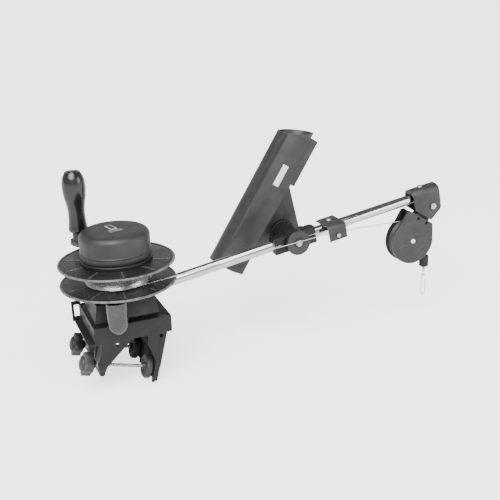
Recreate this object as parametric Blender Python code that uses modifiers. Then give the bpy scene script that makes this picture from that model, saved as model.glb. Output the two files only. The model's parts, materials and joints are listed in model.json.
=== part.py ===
"""Clamp-mounted trolling downrigger: horizontal spool, boom, rod holder and end pulley."""

import math

import bmesh
import bpy
from mathutils import Matrix, Vector

MM = 0.001
GAP = 0.3 * MM
RUNNING = 0.06 * MM

# Spool on an upright axis; the origin lies where that axis meets the gunwale seat.
FLANGE_R = 99.5 * MM
FLANGE_T = 3 * MM
FLANGE_Z = 73.2 * MM
RIM_R = 2 * MM
SPOOL_GAP = 33.4 * MM
DRUM_R = 46 * MM
WINDING_R = 57 * MM
SPINDLE_R = 8 * MM
COLLAR_R = 61 * MM
COLLAR_T = 7.5 * MM
ARM_T = 9 * MM
ARM_END_R = 16 * MM
ARM_HUB_R = 60.5 * MM
BOSS_R = 11 * MM
BOSS_H = 15 * MM
CAP_R = 59.5 * MM
CAP_H = 35 * MM
CAP_WALL = 3.5 * MM
CAP_FILLET = 11 * MM
CRANK_R = 98 * MM
CRANK_TURN = math.radians(116.5)
GRIP_LENGTH = 107 * MM
GRIP_SCALE = 1.13
GRIP_SPINDLE_R = 4 * MM
RATCHET_R = 30 * MM
RATCHET_TEETH = 20

# Clamp bracket.
BRACKET_X = (-62 * MM, 70 * MM)
BRACKET_Y = (-65 * MM, 60 * MM)
DECK_TOP = 21 * MM
SKIRT_H = 29 * MM
PANEL = 4 * MM
PEDESTAL_X = 50 * MM
PEDESTAL_Y = 43 * MM
PEDESTAL_TOP = 52 * MM
PEDESTAL_FLARE = 6 * MM
CLAMP_LEAN = math.radians(15)
JAW_X = 61 * MM
JAW_T = 6 * MM
JAW_DROP = 84 * MM
LINING_T = 3.5 * MM
LEG_X = -33 * MM
LEG_T = 10 * MM
LEG_DROP = 76 * MM
SCREW_DROP = 66 * MM
SCREW_Y = 42 * MM
SCREW_R = 3 * MM
SCREW_LENGTH = 110 * MM
PAD_R = 21 * MM
PAD_T = 12 * MM
KNOB_R = 22 * MM
KNOB_T = 15 * MM
NUT_T = 5 * MM
NUT_ACROSS = 10 * MM

# Boom.
BOOM_R = 9.525 * MM
BOOM_WALL = 1.6 * MM
BOOM_RISE = math.radians(9.2)
BOOM_Z = 41.6 * MM
BOOM_START = -44 * MM
BOOM_END = 638 * MM

# Rod holder and its boom mount.
HUB_AT = 334 * MM
HUB_R = 22 * MM
HUB_Y = (-22 * MM, 42 * MM)
JAW_LENGTH = 84 * MM
JAW_WIDTH = 26 * MM
JAW_HEIGHT = 7 * MM
DISC_R = 23 * MM
DISC_T = 5 * MM
GEAR_R = 25 * MM
GEAR_T = 6 * MM
GEAR_TEETH = 24
ROD_LEAN = math.radians(33)
ROD_R = 31 * MM
ROD_WALL = 3.2 * MM
ROD_LENGTH = 302 * MM
ROD_OFFSET = 64 * MM
ROD_BELOW = 107 * MM
ROD_TOP_CUT = math.radians(25)
PANEL_PROUD = 0.6 * MM
PANEL_RECESS = 0.9 * MM
PANEL_BORDER = 4.5 * MM
PANEL_HALF = 27 * MM
FIN_OUT = 4 * MM
WEB_T = 5 * MM
LABEL_SIZE = (12 * MM, 42 * MM)
LABEL_T = 0.7 * MM
LABEL_UP = 92 * MM

# Cable guide, end saddle and pulley block.
GUIDE_AT = 412 * MM
GUIDE_LENGTH = 36 * MM
GUIDE_BACK = 20 * MM
GUIDE_FRONT = -31 * MM
SHEET = 2.4 * MM
SADDLE_AT = 588 * MM
SADDLE_LENGTH = 57 * MM
SADDLE_HALF = 17 * MM
SADDLE_TOP = 18 * MM
SADDLE_WALL = 3 * MM
PIN_DROP = 22 * MM
PIN_AT = 627 * MM
BLOCK_LEAN = math.radians(32)
BLOCK_ARM = 78 * MM
CHEEK_R = 45.5 * MM
CHEEK_T = 6 * MM
BLOCK_HALF = 14 * MM
WHEEL_R = 43.5 * MM
WHEEL_T = 12 * MM
GROOVE_R = 40 * MM
AXLE_R = 4.5 * MM
CABLE_R = 0.9 * MM
GUIDE_ROLLER_Z = -8.3 * MM
GUIDE_CABLE_Y = -24.4 * MM

# Front pocket and line end.
POCKET_X = -24 * MM
POCKET_W = 34 * MM
POCKET_H = 57 * MM
POCKET_WALL = 2.4 * MM
POCKET_FLATTEN = 0.8
POCKET_Z = 11 * MM
BEAD_R = 9.5 * MM
BEAD_H = 25 * MM
BEAD_X = 617 * MM
BEAD_TOP = 16 * MM
SNAP_LENGTH = 41 * MM
SNAP_WIRE = 0.8 * MM

# Heights that follow from the sizes above.
UPPER_Z = FLANGE_Z + FLANGE_T + SPOOL_GAP
COLLAR_Z = UPPER_Z + FLANGE_T + GAP
ARM_Z = COLLAR_Z + COLLAR_T + 1 * MM
CAP_Z = ARM_Z + ARM_T + 0.8 * MM
CAP_TOP = CAP_Z + CAP_H
BASE_Z = PEDESTAL_TOP + GAP
BASE_TOP = BASE_Z + 9.5 * MM
RATCHET_Z = BASE_TOP + 3 * MM
HANDLE_X = CRANK_R * math.cos(CRANK_TURN)
HANDLE_Y = CRANK_R * math.sin(CRANK_TURN)
HANDLE_Z = ARM_Z + ARM_T + BOSS_H

# Cutters are turned a little, so that their seams miss those of the parts.
CUTTER_PHASE = 0.07
AXES = {"Z": (0, 0, 0), "X": (0, math.pi / 2, 0), "Y": (-math.pi / 2, 0, 0)}

STEEL = ("steel", (0.62, 0.62, 0.63), 0.25, 1.0)
CHROME = ("chrome", (0.80, 0.80, 0.82), 0.08, 1.0)
PLASTIC = ("moulded_black", (0.035, 0.036, 0.038), 0.45, 0.0)
GLOSS = ("gloss_black", (0.015, 0.015, 0.017), 0.2, 0.0)
RUBBER = ("rubber", (0.02, 0.02, 0.02), 0.8, 0.0)
GREY = ("grey_plastic", (0.09, 0.09, 0.095), 0.4, 0.0)
WHITE = ("white_plate", (0.85, 0.85, 0.85), 0.4, 0.0)
BRASS = ("brass", (0.72, 0.55, 0.25), 0.3, 1.0)


def clear_scene():
    for item in list(bpy.data.objects):
        bpy.data.objects.remove(item, do_unlink=True)


def collection(name):
    made = bpy.data.collections.new(name)
    bpy.context.scene.collection.children.link(made)
    return made


clear_scene()
PARTS = collection("trolling_downrigger")
TOOLS = collection("cutters")


def material_for(node, look):
    label, colour, roughness, metallic = look
    made = bpy.data.materials.new(f"{node}_{label}")
    made.use_nodes = True
    shader = made.node_tree.nodes["Principled BSDF"]
    shader.inputs["Base Color"].default_value = (*colour, 1)
    shader.inputs["Roughness"].default_value = roughness
    shader.inputs["Metallic"].default_value = metallic
    return made


def frame(name, location, lean=0.0, parent=None):
    """An empty whose local X and Z axes are turned about Y by the lean."""
    empty = bpy.data.objects.new(name, None)
    PARTS.objects.link(empty)
    empty.location = location
    empty.rotation_euler = (0, lean, 0)
    empty.parent = parent
    return empty


def add(name, mesh, look, parent):
    """Links a mesh as a part, or as a cutter when it has no look."""
    made = bpy.data.objects.new(name, mesh)
    made.parent = parent
    if look is None:
        TOOLS.objects.link(made)
        made.hide_render = True
        made.display_type = "WIRE"
    else:
        PARTS.objects.link(made)
        mesh.materials.append(material_for(name, look))
    return made


def box(name, x, y, z, look=None, parent=None):
    shape = bmesh.new()
    bmesh.ops.create_cube(shape, size=1)
    size = Vector((x[1] - x[0], y[1] - y[0], z[1] - z[0]))
    middle = Vector((x[1] + x[0], y[1] + y[0], z[1] + z[0])) / 2
    bmesh.ops.transform(
        shape, matrix=Matrix.Translation(middle) @ Matrix.Diagonal((*size, 1)), verts=shape.verts
    )
    mesh = bpy.data.meshes.new(name)
    shape.to_mesh(mesh)
    shape.free()
    return add(name, mesh, look, parent)


def turned(name, profile, look=None, parent=None, axis="Z", at=(0, 0, 0), steps=36, closed=False):
    """Sweeps a (radius, height) profile, listed top to bottom on its outer side, about an axis."""
    mesh = bpy.data.meshes.new(name)
    phase = 0.0 if look else CUTTER_PHASE
    points = [(radius * math.cos(phase), radius * math.sin(phase), height) for radius, height in profile]
    edges = [(i, i + 1) for i in range(len(points) - 1)]
    if closed:
        edges.append((len(points) - 1, 0))
    mesh.from_pydata(points, edges, [])
    made = add(name, mesh, look, parent)
    made.location = at
    made.rotation_euler = AXES[axis]
    screw = made.modifiers.new("turn", "SCREW")
    screw.steps = steps
    screw.render_steps = steps
    screw.use_merge_vertices = True
    screw.merge_threshold = 0.00001
    screw.use_smooth_shade = True
    return made


def rod(name, radius, start, end, look=None, parent=None, axis="Z", at=(0, 0, 0), steps=24):
    """A plain round bar between two heights on its axis."""
    profile = [(0, end), (radius, end), (radius, start), (0, start)]
    return turned(name, profile, look, parent, axis, at, steps)


def ring(name, outer, inner, start, end, look=None, parent=None, axis="Z", at=(0, 0, 0), steps=36):
    """A round piece with a bore, between two heights on its axis."""
    profile = [(outer, end), (outer, start), (inner, start), (inner, end)]
    return turned(name, profile, look, parent, axis, at, steps, closed=True)


def to_mesh(curve_object, look, parent):
    """Turns a curve object into a welded mesh object of the same name."""
    bpy.context.view_layer.update()
    graph = bpy.context.evaluated_depsgraph_get()
    mesh = bpy.data.meshes.new_from_object(curve_object.evaluated_get(graph))
    shape = bmesh.new()
    shape.from_mesh(mesh)
    bmesh.ops.remove_doubles(shape, verts=shape.verts, dist=0.000002)
    bmesh.ops.recalc_face_normals(shape, faces=shape.faces)
    shape.to_mesh(mesh)
    shape.free()
    mesh.materials.clear()
    name, place = curve_object.name, curve_object.matrix_world.copy()
    bpy.data.objects.remove(curve_object)
    made = add(name, mesh, look, parent)
    made.matrix_basis = place
    return made


def plate(name, outline, y, look=None, parent=None):
    """A flat piece with an (x, z) outline, between two values of y."""
    curve = bpy.data.curves.new(name, "CURVE")
    curve.dimensions = "2D"
    curve.fill_mode = "BOTH"
    curve.extrude = (y[1] - y[0]) / 2
    spline = curve.splines.new("POLY")
    spline.points.add(len(outline) - 1)
    for point, (x, z) in zip(spline.points, outline):
        point.co = (x, z, 0, 1)
    spline.use_cyclic_u = True
    made = bpy.data.objects.new(name, curve)
    TOOLS.objects.link(made)
    made.rotation_euler = (math.pi / 2, 0, 0)
    made.location = (0, (y[0] + y[1]) / 2, 0)
    return to_mesh(made, look, parent)


def sheet_strip(name, outline, x, look=None, parent=None):
    """A folded piece with a (y, z) outline, between two values of x."""
    made = plate(name, outline, x, look, parent)
    made.matrix_basis = Matrix.Rotation(math.pi / 2, 4, "Z") @ made.matrix_basis
    mirror = Matrix.Diagonal((-1, 1, 1, 1))
    made.matrix_basis = mirror @ made.matrix_basis
    made.data.transform(made.matrix_basis)
    made.data.flip_normals()
    made.matrix_basis = Matrix.Identity(4)
    return made


def wire(name, points, radius, look, parent=None, cyclic=False, sides=2):
    curve = bpy.data.curves.new(name, "CURVE")
    curve.dimensions = "3D"
    curve.bevel_depth = radius
    curve.bevel_resolution = sides
    curve.use_fill_caps = True
    spline = curve.splines.new("POLY")
    spline.points.add(len(points) - 1)
    for point, place in zip(spline.points, points):
        point.co = (*place, 1)
    spline.use_cyclic_u = cyclic
    made = bpy.data.objects.new(name, curve)
    TOOLS.objects.link(made)
    return to_mesh(made, look, parent)


def combine(target, other, operation):
    step = target.modifiers.new(operation.lower(), "BOOLEAN")
    step.operation = operation
    step.solver = "EXACT"
    step.object = other


def join(target, *others):
    for other in others:
        combine(target, other, "UNION")


def cut(target, *others):
    for other in others:
        combine(target, other, "DIFFERENCE")


def arc(centre, radius, start, end, count):
    """Points on a circle between two angles in degrees, both ends included."""
    angles = [math.radians(start + (end - start) * i / count) for i in range(count + 1)]
    return [(centre[0] + radius * math.cos(a), centre[1] + radius * math.sin(a)) for a in angles]


def hexagon(across, turn=0.0):
    radius = across / math.sqrt(3)
    return [(radius * math.cos(turn + math.pi * i / 3), radius * math.sin(turn + math.pi * i / 3)) for i in range(6)]


CLAMP = frame("clamp_frame", (0, 0, 0), CLAMP_LEAN)
BOOM = frame("boom_frame", (0, 0, BOOM_Z), -BOOM_RISE)


def boom_point(along, across=0.0, up=0.0):
    """A place given along the boom, sideways and square to it, in the object's frame."""
    c, s = math.cos(BOOM_RISE), math.sin(BOOM_RISE)
    return Vector((along * c - up * s, across, BOOM_Z + along * s + up * c))


def leg_outlines():
    """Outer outlines of the left and right leg webs, in the clamp's leaning frame."""
    left = [
        (-64 * MM, -6 * MM),
        (7 * MM, 2 * MM),
        (5 * MM, -4 * MM),
        (LEG_X + 2 * MM, -60 * MM),
        (LEG_X - 2 * MM, -LEG_DROP - 2 * MM),
        (LEG_X - LEG_T + 2 * MM, -LEG_DROP - 2 * MM),
        (LEG_X - LEG_T - 2 * MM, -56 * MM),
        (-48 * MM, -22 * MM),
    ]
    right = [
        (30 * MM, 2 * MM),
        (JAW_X, 18 * MM),
        (JAW_X, -56 * MM),
        (JAW_X - JAW_T, -JAW_DROP - 2 * MM),
        (JAW_X - JAW_T - 4 * MM, -JAW_DROP - 2 * MM),
        (JAW_X - JAW_T - LINING_T - GAP, -46 * MM),
        (32 * MM, -18 * MM),
    ]
    return left, right


def clamp_bracket():
    x0, x1 = BRACKET_X
    y0, y1 = BRACKET_Y
    deck = box("clamp_bracket", (x0, x1), (y0, y1), (DECK_TOP - PANEL, DECK_TOP), PLASTIC)
    low = DECK_TOP - SKIRT_H
    walls = [
        box("skirt_front", (x0, x1), (y0, y0 + PANEL), (low, DECK_TOP - 1 * MM)),
        box("skirt_rear", (x0, x1), (y1 - PANEL, y1), (low, DECK_TOP - 1 * MM)),
        box("skirt_right", (x1 - PANEL, x1), (y0, y1), (low, DECK_TOP - 1 * MM)),
        box("skirt_left", (x0, x0 + PANEL), (y0, y1), (low, DECK_TOP - 1 * MM)),
        box("strip_left", (x0 - 12 * MM, x0 + 2 * MM), (y0, y1), (low - 1 * MM, low + 3 * MM)),
        box(
            "strip_end",
            (x0 - 14 * MM, x0 + 2 * MM),
            (y1 - PANEL, y1 + 0.5 * MM),
            (low - 1.5 * MM, DECK_TOP + 6 * MM),
        ),
    ]
    join(deck, *walls)
    outer = [
        (-PEDESTAL_X - PEDESTAL_FLARE, DECK_TOP - 2 * MM),
        (-PEDESTAL_X, PEDESTAL_TOP),
        (PEDESTAL_X, PEDESTAL_TOP),
        (PEDESTAL_X + PEDESTAL_FLARE, DECK_TOP - 2 * MM),
    ]
    inner = [
        (-PEDESTAL_X - PEDESTAL_FLARE + PANEL, DECK_TOP - 6 * MM),
        (-PEDESTAL_X + PANEL, PEDESTAL_TOP - PANEL),
        (PEDESTAL_X - PANEL, PEDESTAL_TOP - PANEL),
        (PEDESTAL_X + PEDESTAL_FLARE - PANEL, DECK_TOP - 6 * MM),
    ]
    join(deck, plate("pedestal_outer", outer, (-PEDESTAL_Y, PEDESTAL_Y)))
    cut(deck, plate("pedestal_inner", inner, (-PEDESTAL_Y + PANEL, PEDESTAL_Y - PANEL)))
    join(deck, box("seat_pad", (-14 * MM, 38 * MM), (y0 + 1 * MM, y1 - 1 * MM), (0, 8 * MM), None, CLAMP))
    depth = y1 - y0
    for i in range(4):
        near = y0 + i * (depth - PANEL) / 3 + (0.1 * MM if i else 0)
        for side, outline in zip(("left", "right"), leg_outlines()):
            join(deck, plate(f"web_{side}_{i}", outline, (near, near + PANEL), None, CLAMP))
    join(
        deck,
        box(
            "jaw_wall",
            (JAW_X - JAW_T, JAW_X - 0.5 * MM),
            (y0 + 1 * MM, y1 - 1 * MM),
            (-JAW_DROP, 12 * MM),
            None,
            CLAMP,
        ),
        box(
            "leg_wall", (LEG_X - LEG_T, LEG_X), (y0 + 1 * MM, y1 - 1 * MM), (-LEG_DROP, 6 * MM), None, CLAMP
        ),
    )
    for side, y in (("front", -SCREW_Y), ("rear", SCREW_Y)):
        hole = rod(
            f"screw_hole_{side}", SCREW_R + 0.6 * MM, -90 * MM, 0, None, CLAMP, "X", (0, y, -SCREW_DROP)
        )
        pocket = rod(
            f"nut_pocket_{side}",
            NUT_ACROSS / math.sqrt(3) + GAP,
            LEG_X - LEG_T - 20 * MM,
            LEG_X - LEG_T + NUT_T,
            None,
            CLAMP,
            "X",
            (0, y, -SCREW_DROP),
            24,
        )
        cut(deck, hole, pocket)
    channel = rod(
        "boom_channel", BOOM_R + 2 * GAP, BOOM_START - 1 * MM, 90 * MM, None, BOOM, "X", (0, 0, 0), 48
    )
    cut(deck, channel)
    for i, (x, z) in enumerate(((-26 * MM, -14 * MM), (50 * MM, -13 * MM))):
        cut(deck, rod(f"bolt_hole_{i}", 3.4 * MM, -70 * MM, -50 * MM, None, None, "Y", (x, 0, z), 16))
    for i, y in enumerate((-54 * MM, 51 * MM)):
        cut(deck, rod(f"deck_hole_{i}", 3 * MM, 0, 30 * MM, None, None, "Z", (57 * MM, y, 0), 16))
    window = box(
        "window", (x0 - 10 * MM, x0 - 0.5 * MM), (y1 - 8 * MM, y1 + 8 * MM), (low + 6 * MM, DECK_TOP)
    )
    cut(deck, window)
    return deck


def jaw_lining():
    x = (JAW_X - JAW_T - GAP - LINING_T, JAW_X - JAW_T - GAP)
    z0 = -JAW_DROP + 3 * MM
    count = 9
    pitch = 4 * MM
    outline = [(x[1], z0), (x[1], z0 + count * pitch)]
    for i in reversed(range(count)):
        outline += [(x[0] + 1.2 * MM, z0 + (i + 0.95) * pitch), (x[0], z0 + (i + 0.5) * pitch)]
    outline.append((x[0] + 1.2 * MM, z0))
    front = BRACKET_Y[0] + PANEL + GAP
    spacing = (BRACKET_Y[1] - BRACKET_Y[0] - PANEL) / 3
    for i, label in enumerate(("front", "middle", "rear")):
        near = front + i * spacing
        plate(
            f"jaw_lining_{label}",
            outline,
            (near + 0.3 * MM, near + spacing - PANEL - 0.9 * MM),
            RUBBER,
            CLAMP,
        )


def clamp_screws():
    face = JAW_X - JAW_T - LINING_T - 2 * GAP
    for side, y in (("front", -SCREW_Y), ("rear", SCREW_Y)):
        at = (0, y, -SCREW_DROP)
        back = face - PAD_T
        pad = [
            (0, face),
            (PAD_R - 3 * MM, face),
            (PAD_R, face - 2.5 * MM),
            (PAD_R, back + 2.5 * MM),
            (PAD_R - 2.5 * MM, back),
            (SCREW_R + 4 * MM, back),
            (SCREW_R + 3 * MM, back - 4 * MM),
            (SCREW_R + RUNNING, back - 4 * MM),
            (SCREW_R + RUNNING, back + 5 * MM),
            (0, back + 5 * MM),
        ]
        turned(f"clamp_pad_{side}", pad, RUBBER if side == "rear" else GREY, CLAMP, "X", at, 24)
        tip = back + 5 * MM - GAP
        start = tip - SCREW_LENGTH
        rod(f"clamp_screw_{side}", SCREW_R, start, tip, STEEL, CLAMP, "X", at, 24)
        clamp_knob(side, start, at)
        nut = turned_hex(f"clamp_nut_{side}", NUT_ACROSS, LEG_X - LEG_T + 0.2 * MM, NUT_T - GAP, at)
        cut(nut, rod(f"nut_bore_{side}", SCREW_R + RUNNING, -80 * MM, 0, None, CLAMP, "X", at, 24))


def turned_hex(name, across, start, thickness, at):
    nut = plate(name, hexagon(across), (0, thickness), STEEL, CLAMP)
    nut.data.transform(nut.matrix_basis)
    turn = Matrix.Rotation(-math.pi / 2, 4, "Z")
    nut.matrix_basis = Matrix.Translation((start, at[1], at[2])) @ turn
    return nut


def clamp_knob(side, start, at):
    lobes = 4
    points = []
    for i in range(lobes * 6):
        angle = 2 * math.pi * i / (lobes * 6)
        radius = KNOB_R - 3 * MM + 3 * MM * math.cos(lobes * angle)
        points.append((radius * math.cos(angle), radius * math.sin(angle)))
    knob = plate(f"clamp_knob_{side}", points, (0, KNOB_T), GREY if side == "front" else PLASTIC, CLAMP)
    knob.data.transform(knob.matrix_basis)
    turn = Matrix.Rotation(-math.pi / 2, 4, "Z")
    knob.matrix_basis = Matrix.Translation((start - 2 * MM, at[1], at[2])) @ turn
    front = start - 2 * MM
    dome = [
        (0, front + 1 * MM),
        (13 * MM, front + 1 * MM),
        (12 * MM, front - 3 * MM),
        (8 * MM, front - 5 * MM),
        (0, front - 6 * MM),
    ]
    far = front + KNOB_T
    hub = [(0, far + 6 * MM), (7.5 * MM, far + 6 * MM), (10 * MM, far - 1 * MM), (0, far - 1 * MM)]
    join(knob, turned(f"knob_dome_{side}", dome, None, CLAMP, "X", at, 20))
    join(knob, turned(f"knob_hub_{side}", hub, None, CLAMP, "X", at, 20))
    cut(knob, rod(f"knob_bore_{side}", SCREW_R + GAP, start - GAP, far + 20 * MM, None, CLAMP, "X", at, 24))


def reel_base():
    profile = [
        (0, BASE_TOP),
        (46 * MM, BASE_TOP),
        (49 * MM, BASE_TOP - 3 * MM),
        (49 * MM, BASE_Z),
        (0, BASE_Z),
    ]
    base = turned("reel_base", profile, PLASTIC)
    cut(base, rod("base_channel", BOOM_R + GAP, -90 * MM, 90 * MM, None, BOOM, "X", steps=48))
    cut(base, rod("spindle_seat", SPINDLE_R + GAP, BASE_TOP - 2.5 * MM, BASE_TOP + 5 * MM, steps=32))
    cut(
        base,
        rod(
            "pawl_pin_hole",
            2.5 * MM + GAP,
            BASE_Z - 1 * MM,
            BASE_TOP + 1 * MM,
            at=(-41 * MM, 0, 0),
            steps=16,
        ),
    )


def spindle():
    top = CAP_Z + 16 * MM
    low = BASE_TOP - 2.5 * MM + GAP
    rod("spindle_shaft", SPINDLE_R, low, top, STEEL, steps=32)
    washer = (RATCHET_Z - 2.4 * MM, RATCHET_Z - GAP)
    ring("thrust_washer", 16 * MM, SPINDLE_R + RUNNING, *washer, STEEL)


def ratchet_gear():
    points = []
    for i in range(RATCHET_TEETH):
        start = 2 * math.pi * i / RATCHET_TEETH
        points.append((RATCHET_R * math.cos(start), RATCHET_R * math.sin(start)))
        tail = start + 1.7 * math.pi / RATCHET_TEETH
        points.append(((RATCHET_R - 4 * MM) * math.cos(tail), (RATCHET_R - 4 * MM) * math.sin(tail)))
    gear = flat_disc("ratchet_gear", points, RATCHET_Z, FLANGE_Z - GAP, STEEL)
    cut(gear, rod("gear_bore", SPINDLE_R + 1 * MM, 0, FLANGE_Z + 9 * MM, steps=32))


def flat_disc(name, outline, low, high, look=None, parent=None):
    """A flat piece with an (x, y) outline, between two heights."""
    made = plate(name, outline, (low, high), look, parent)
    made.data.transform(Matrix.Rotation(math.pi / 2, 4, "X") @ made.matrix_basis)
    made.data.transform(Matrix.Diagonal((1, -1, 1, 1)))
    made.data.flip_normals()
    made.matrix_basis = Matrix.Identity(4)
    return made


def pawl():
    tip = (-RATCHET_R - 0.8 * MM, 0)
    x = -41 * MM
    low, high = BASE_TOP + GAP + 0.8 * MM, FLANGE_Z - 1 * MM
    arm = [(x - 4 * MM, -3 * MM), (x - 4 * MM, 14 * MM), (x + 3 * MM, 14 * MM), (x + 4.5 * MM, 2 * MM)]
    arm += [(tip[0] - 0.6 * MM, 2.5 * MM), (tip[0] - 0.4 * MM, -2.5 * MM)]
    lever = flat_disc("pawl", arm, low, high, STEEL)
    cut(lever, rod("pawl_bore", 2.5 * MM + RUNNING, low - 3 * MM, high + 3 * MM, at=(x, 0, 0), steps=24))
    rod("pawl_pin", 2.5 * MM, BASE_TOP - 8 * MM, high - 0.6 * MM, STEEL, at=(x, 0, 0), steps=24)


def flange(name, z, bore):
    """A disc with a rolled bead round its rim and a shallow dish inside the bead."""
    top, low = z + FLANGE_T, z
    profile = [(bore, top), (FLANGE_R - 9 * MM, top), (FLANGE_R - 6 * MM, top - 0.8 * MM)]
    profile += [(FLANGE_R - RIM_R * 2, top - 0.8 * MM)]
    middle = (FLANGE_R - RIM_R, z + FLANGE_T / 2)
    profile += arc(middle, RIM_R, 120, -120, 5)
    profile += [(bore, low)]
    return turned(name, profile, GLOSS, steps=48, closed=True)


def spool():
    bore = SPINDLE_R + RUNNING
    flange("spool_lower_flange", FLANGE_Z, bore)
    flange("spool_upper_flange", UPPER_Z, bore)
    low = FLANGE_Z + FLANGE_T + GAP
    ring("spool_drum", DRUM_R, bore, low, UPPER_Z - GAP, PLASTIC)
    turns = 5
    layer = (UPPER_Z - GAP - low - 1 * MM) / turns
    profile = [(DRUM_R + GAP, UPPER_Z - 2 * GAP)]
    for i in range(turns):
        height = UPPER_Z - GAP - 0.5 * MM - i * layer
        profile += [(WINDING_R - 0.9 * MM, height), (WINDING_R, height - layer / 2)]
    profile += [(WINDING_R - 0.9 * MM, low + 0.5 * MM), (DRUM_R + GAP, low + GAP)]
    turned("cable_winding", profile, STEEL, closed=True)
    collar = [
        (bore, COLLAR_Z + COLLAR_T),
        (COLLAR_R - 3 * MM, COLLAR_Z + COLLAR_T),
        (COLLAR_R, COLLAR_Z + COLLAR_T - 2.5 * MM),
        (COLLAR_R, COLLAR_Z),
        (bore, COLLAR_Z),
    ]
    turned("brake_disc", collar, PLASTIC, closed=True)


def crank():
    turn = math.degrees(CRANK_TURN)
    meet = math.degrees(math.asin(ARM_END_R / ARM_HUB_R))
    outline = arc((HANDLE_X, HANDLE_Y), ARM_END_R, turn - 90, turn + 90, 12)
    outline += arc((0, 0), ARM_HUB_R, turn + meet, turn + 360 - meet, 40)
    arm = flat_disc("crank_arm", outline, ARM_Z, ARM_Z + ARM_T, GLOSS)
    boss = rod("arm_boss", BOSS_R, ARM_Z + 1 * MM, HANDLE_Z - GAP, at=(HANDLE_X, HANDLE_Y, 0), steps=32)
    join(arm, boss)
    cut(arm, rod("arm_bore", SPINDLE_R + RUNNING, 0, CAP_TOP, steps=48))
    cut(
        arm,
        rod("handle_hole", GRIP_SPINDLE_R + GAP, 0, CAP_TOP + 9 * MM, at=(HANDLE_X, HANDLE_Y, 0), steps=24),
    )


def brake_cap():
    outer = [(0, CAP_TOP), (CAP_R - CAP_FILLET, CAP_TOP)]
    outer += arc((CAP_R - CAP_FILLET, CAP_TOP - CAP_FILLET), CAP_FILLET, 90, 0, 4)[1:]
    outer += [(CAP_R, CAP_Z + 2 * MM), (CAP_R + 1.2 * MM, CAP_Z + 1 * MM), (CAP_R + 1.2 * MM, CAP_Z)]
    inner = [(CAP_R - CAP_WALL, CAP_Z), (CAP_R - CAP_WALL, CAP_TOP - CAP_FILLET)]
    inner += [(CAP_R - CAP_FILLET, CAP_TOP - CAP_WALL - 1 * MM), (18 * MM, CAP_TOP - CAP_WALL)]
    inner += [(18 * MM, CAP_Z), (SPINDLE_R + RUNNING, CAP_Z)]
    inner += [(SPINDLE_R + RUNNING, CAP_Z + 20 * MM), (0, CAP_Z + 20 * MM)]
    turned("brake_cap", outer + inner, PLASTIC)
    plate_low = CAP_TOP + GAP
    corners = [(-30 * MM, -24 * MM), (-4 * MM, -24 * MM), (-4 * MM, -14 * MM), (-30 * MM, -14 * MM)]
    label = flat_disc("cap_plate", corners, plate_low, plate_low + 0.6 * MM, GREY)
    label.matrix_basis = Matrix.Rotation(math.radians(14), 4, "Z")


def grip():
    at = (HANDLE_X, HANDLE_Y, 0)
    top = HANDLE_Z + GRIP_LENGTH
    radii = [11.7, 15.4, 17.5, 18.0, 17.7, 16.7, 14.8, 13.4, 12.9, 13.2, 14.0, 15.2]
    profile = [(9 * MM, top - 1.5 * MM), (9.6 * MM, top - 0.2 * MM)]
    for i, radius in enumerate(radii):
        drop = GRIP_LENGTH * (i / (len(radii) - 1)) ** 1.05 * 0.97
        profile.append((radius * GRIP_SCALE * MM, top - drop))
    bore = GRIP_SPINDLE_R + RUNNING
    profile += [(13.4 * GRIP_SCALE * MM, HANDLE_Z), (bore, HANDLE_Z), (bore, top - 1.5 * MM)]
    turned("crank_grip", profile, GLOSS, at=at, steps=20, closed=True)
    bolt = [
        (0, top + 1.2 * MM),
        (7 * MM, top + 1.2 * MM),
        (8.4 * MM, top),
        (8.4 * MM, top - 1.2 * MM),
        (GRIP_SPINDLE_R, top - 1.2 * MM),
        (GRIP_SPINDLE_R, ARM_Z + 0.5 * MM),
        (0, ARM_Z + 0.5 * MM),
    ]
    turned("grip_spindle", bolt, GLOSS, at=at, steps=24)


def front_pocket():
    """A cup with a domed bottom, a little flattened against the skirt."""
    radius = POCKET_W / 2
    inside = radius - POCKET_WALL
    dome = POCKET_Z + radius
    profile = [(0, dome - inside)]
    profile += arc((0, dome), inside, -90, 0, 7)[1:]
    profile += [(inside, POCKET_Z + POCKET_H), (radius, POCKET_Z + POCKET_H)]
    profile += arc((0, dome), radius, 0, -90, 7)[:-1]
    profile.append((0, POCKET_Z))
    at = (POCKET_X, BRACKET_Y[0] - GAP - radius * POCKET_FLATTEN, 0)
    cup = turned("front_pocket", profile, PLASTIC, at=at)
    cup.scale = (1, POCKET_FLATTEN, 1)


def boom():
    ring("boom_tube", BOOM_R, BOOM_R - BOOM_WALL, BOOM_START, BOOM_END, CHROME, BOOM, "X", steps=48)
    plug_r = BOOM_R - BOOM_WALL - GAP
    plug = [
        (0, BOOM_END + 3 * MM),
        (BOOM_R - 1.5 * MM, BOOM_END + 3 * MM),
        (BOOM_R - 0.3 * MM, BOOM_END + 1.8 * MM),
        (BOOM_R - 0.3 * MM, BOOM_END + GAP),
        (plug_r, BOOM_END + GAP),
        (plug_r, BOOM_END - 12 * MM),
        (0, BOOM_END - 12 * MM),
    ]
    turned("boom_end_plug", plug, PLASTIC, BOOM, "X", steps=32)


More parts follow.
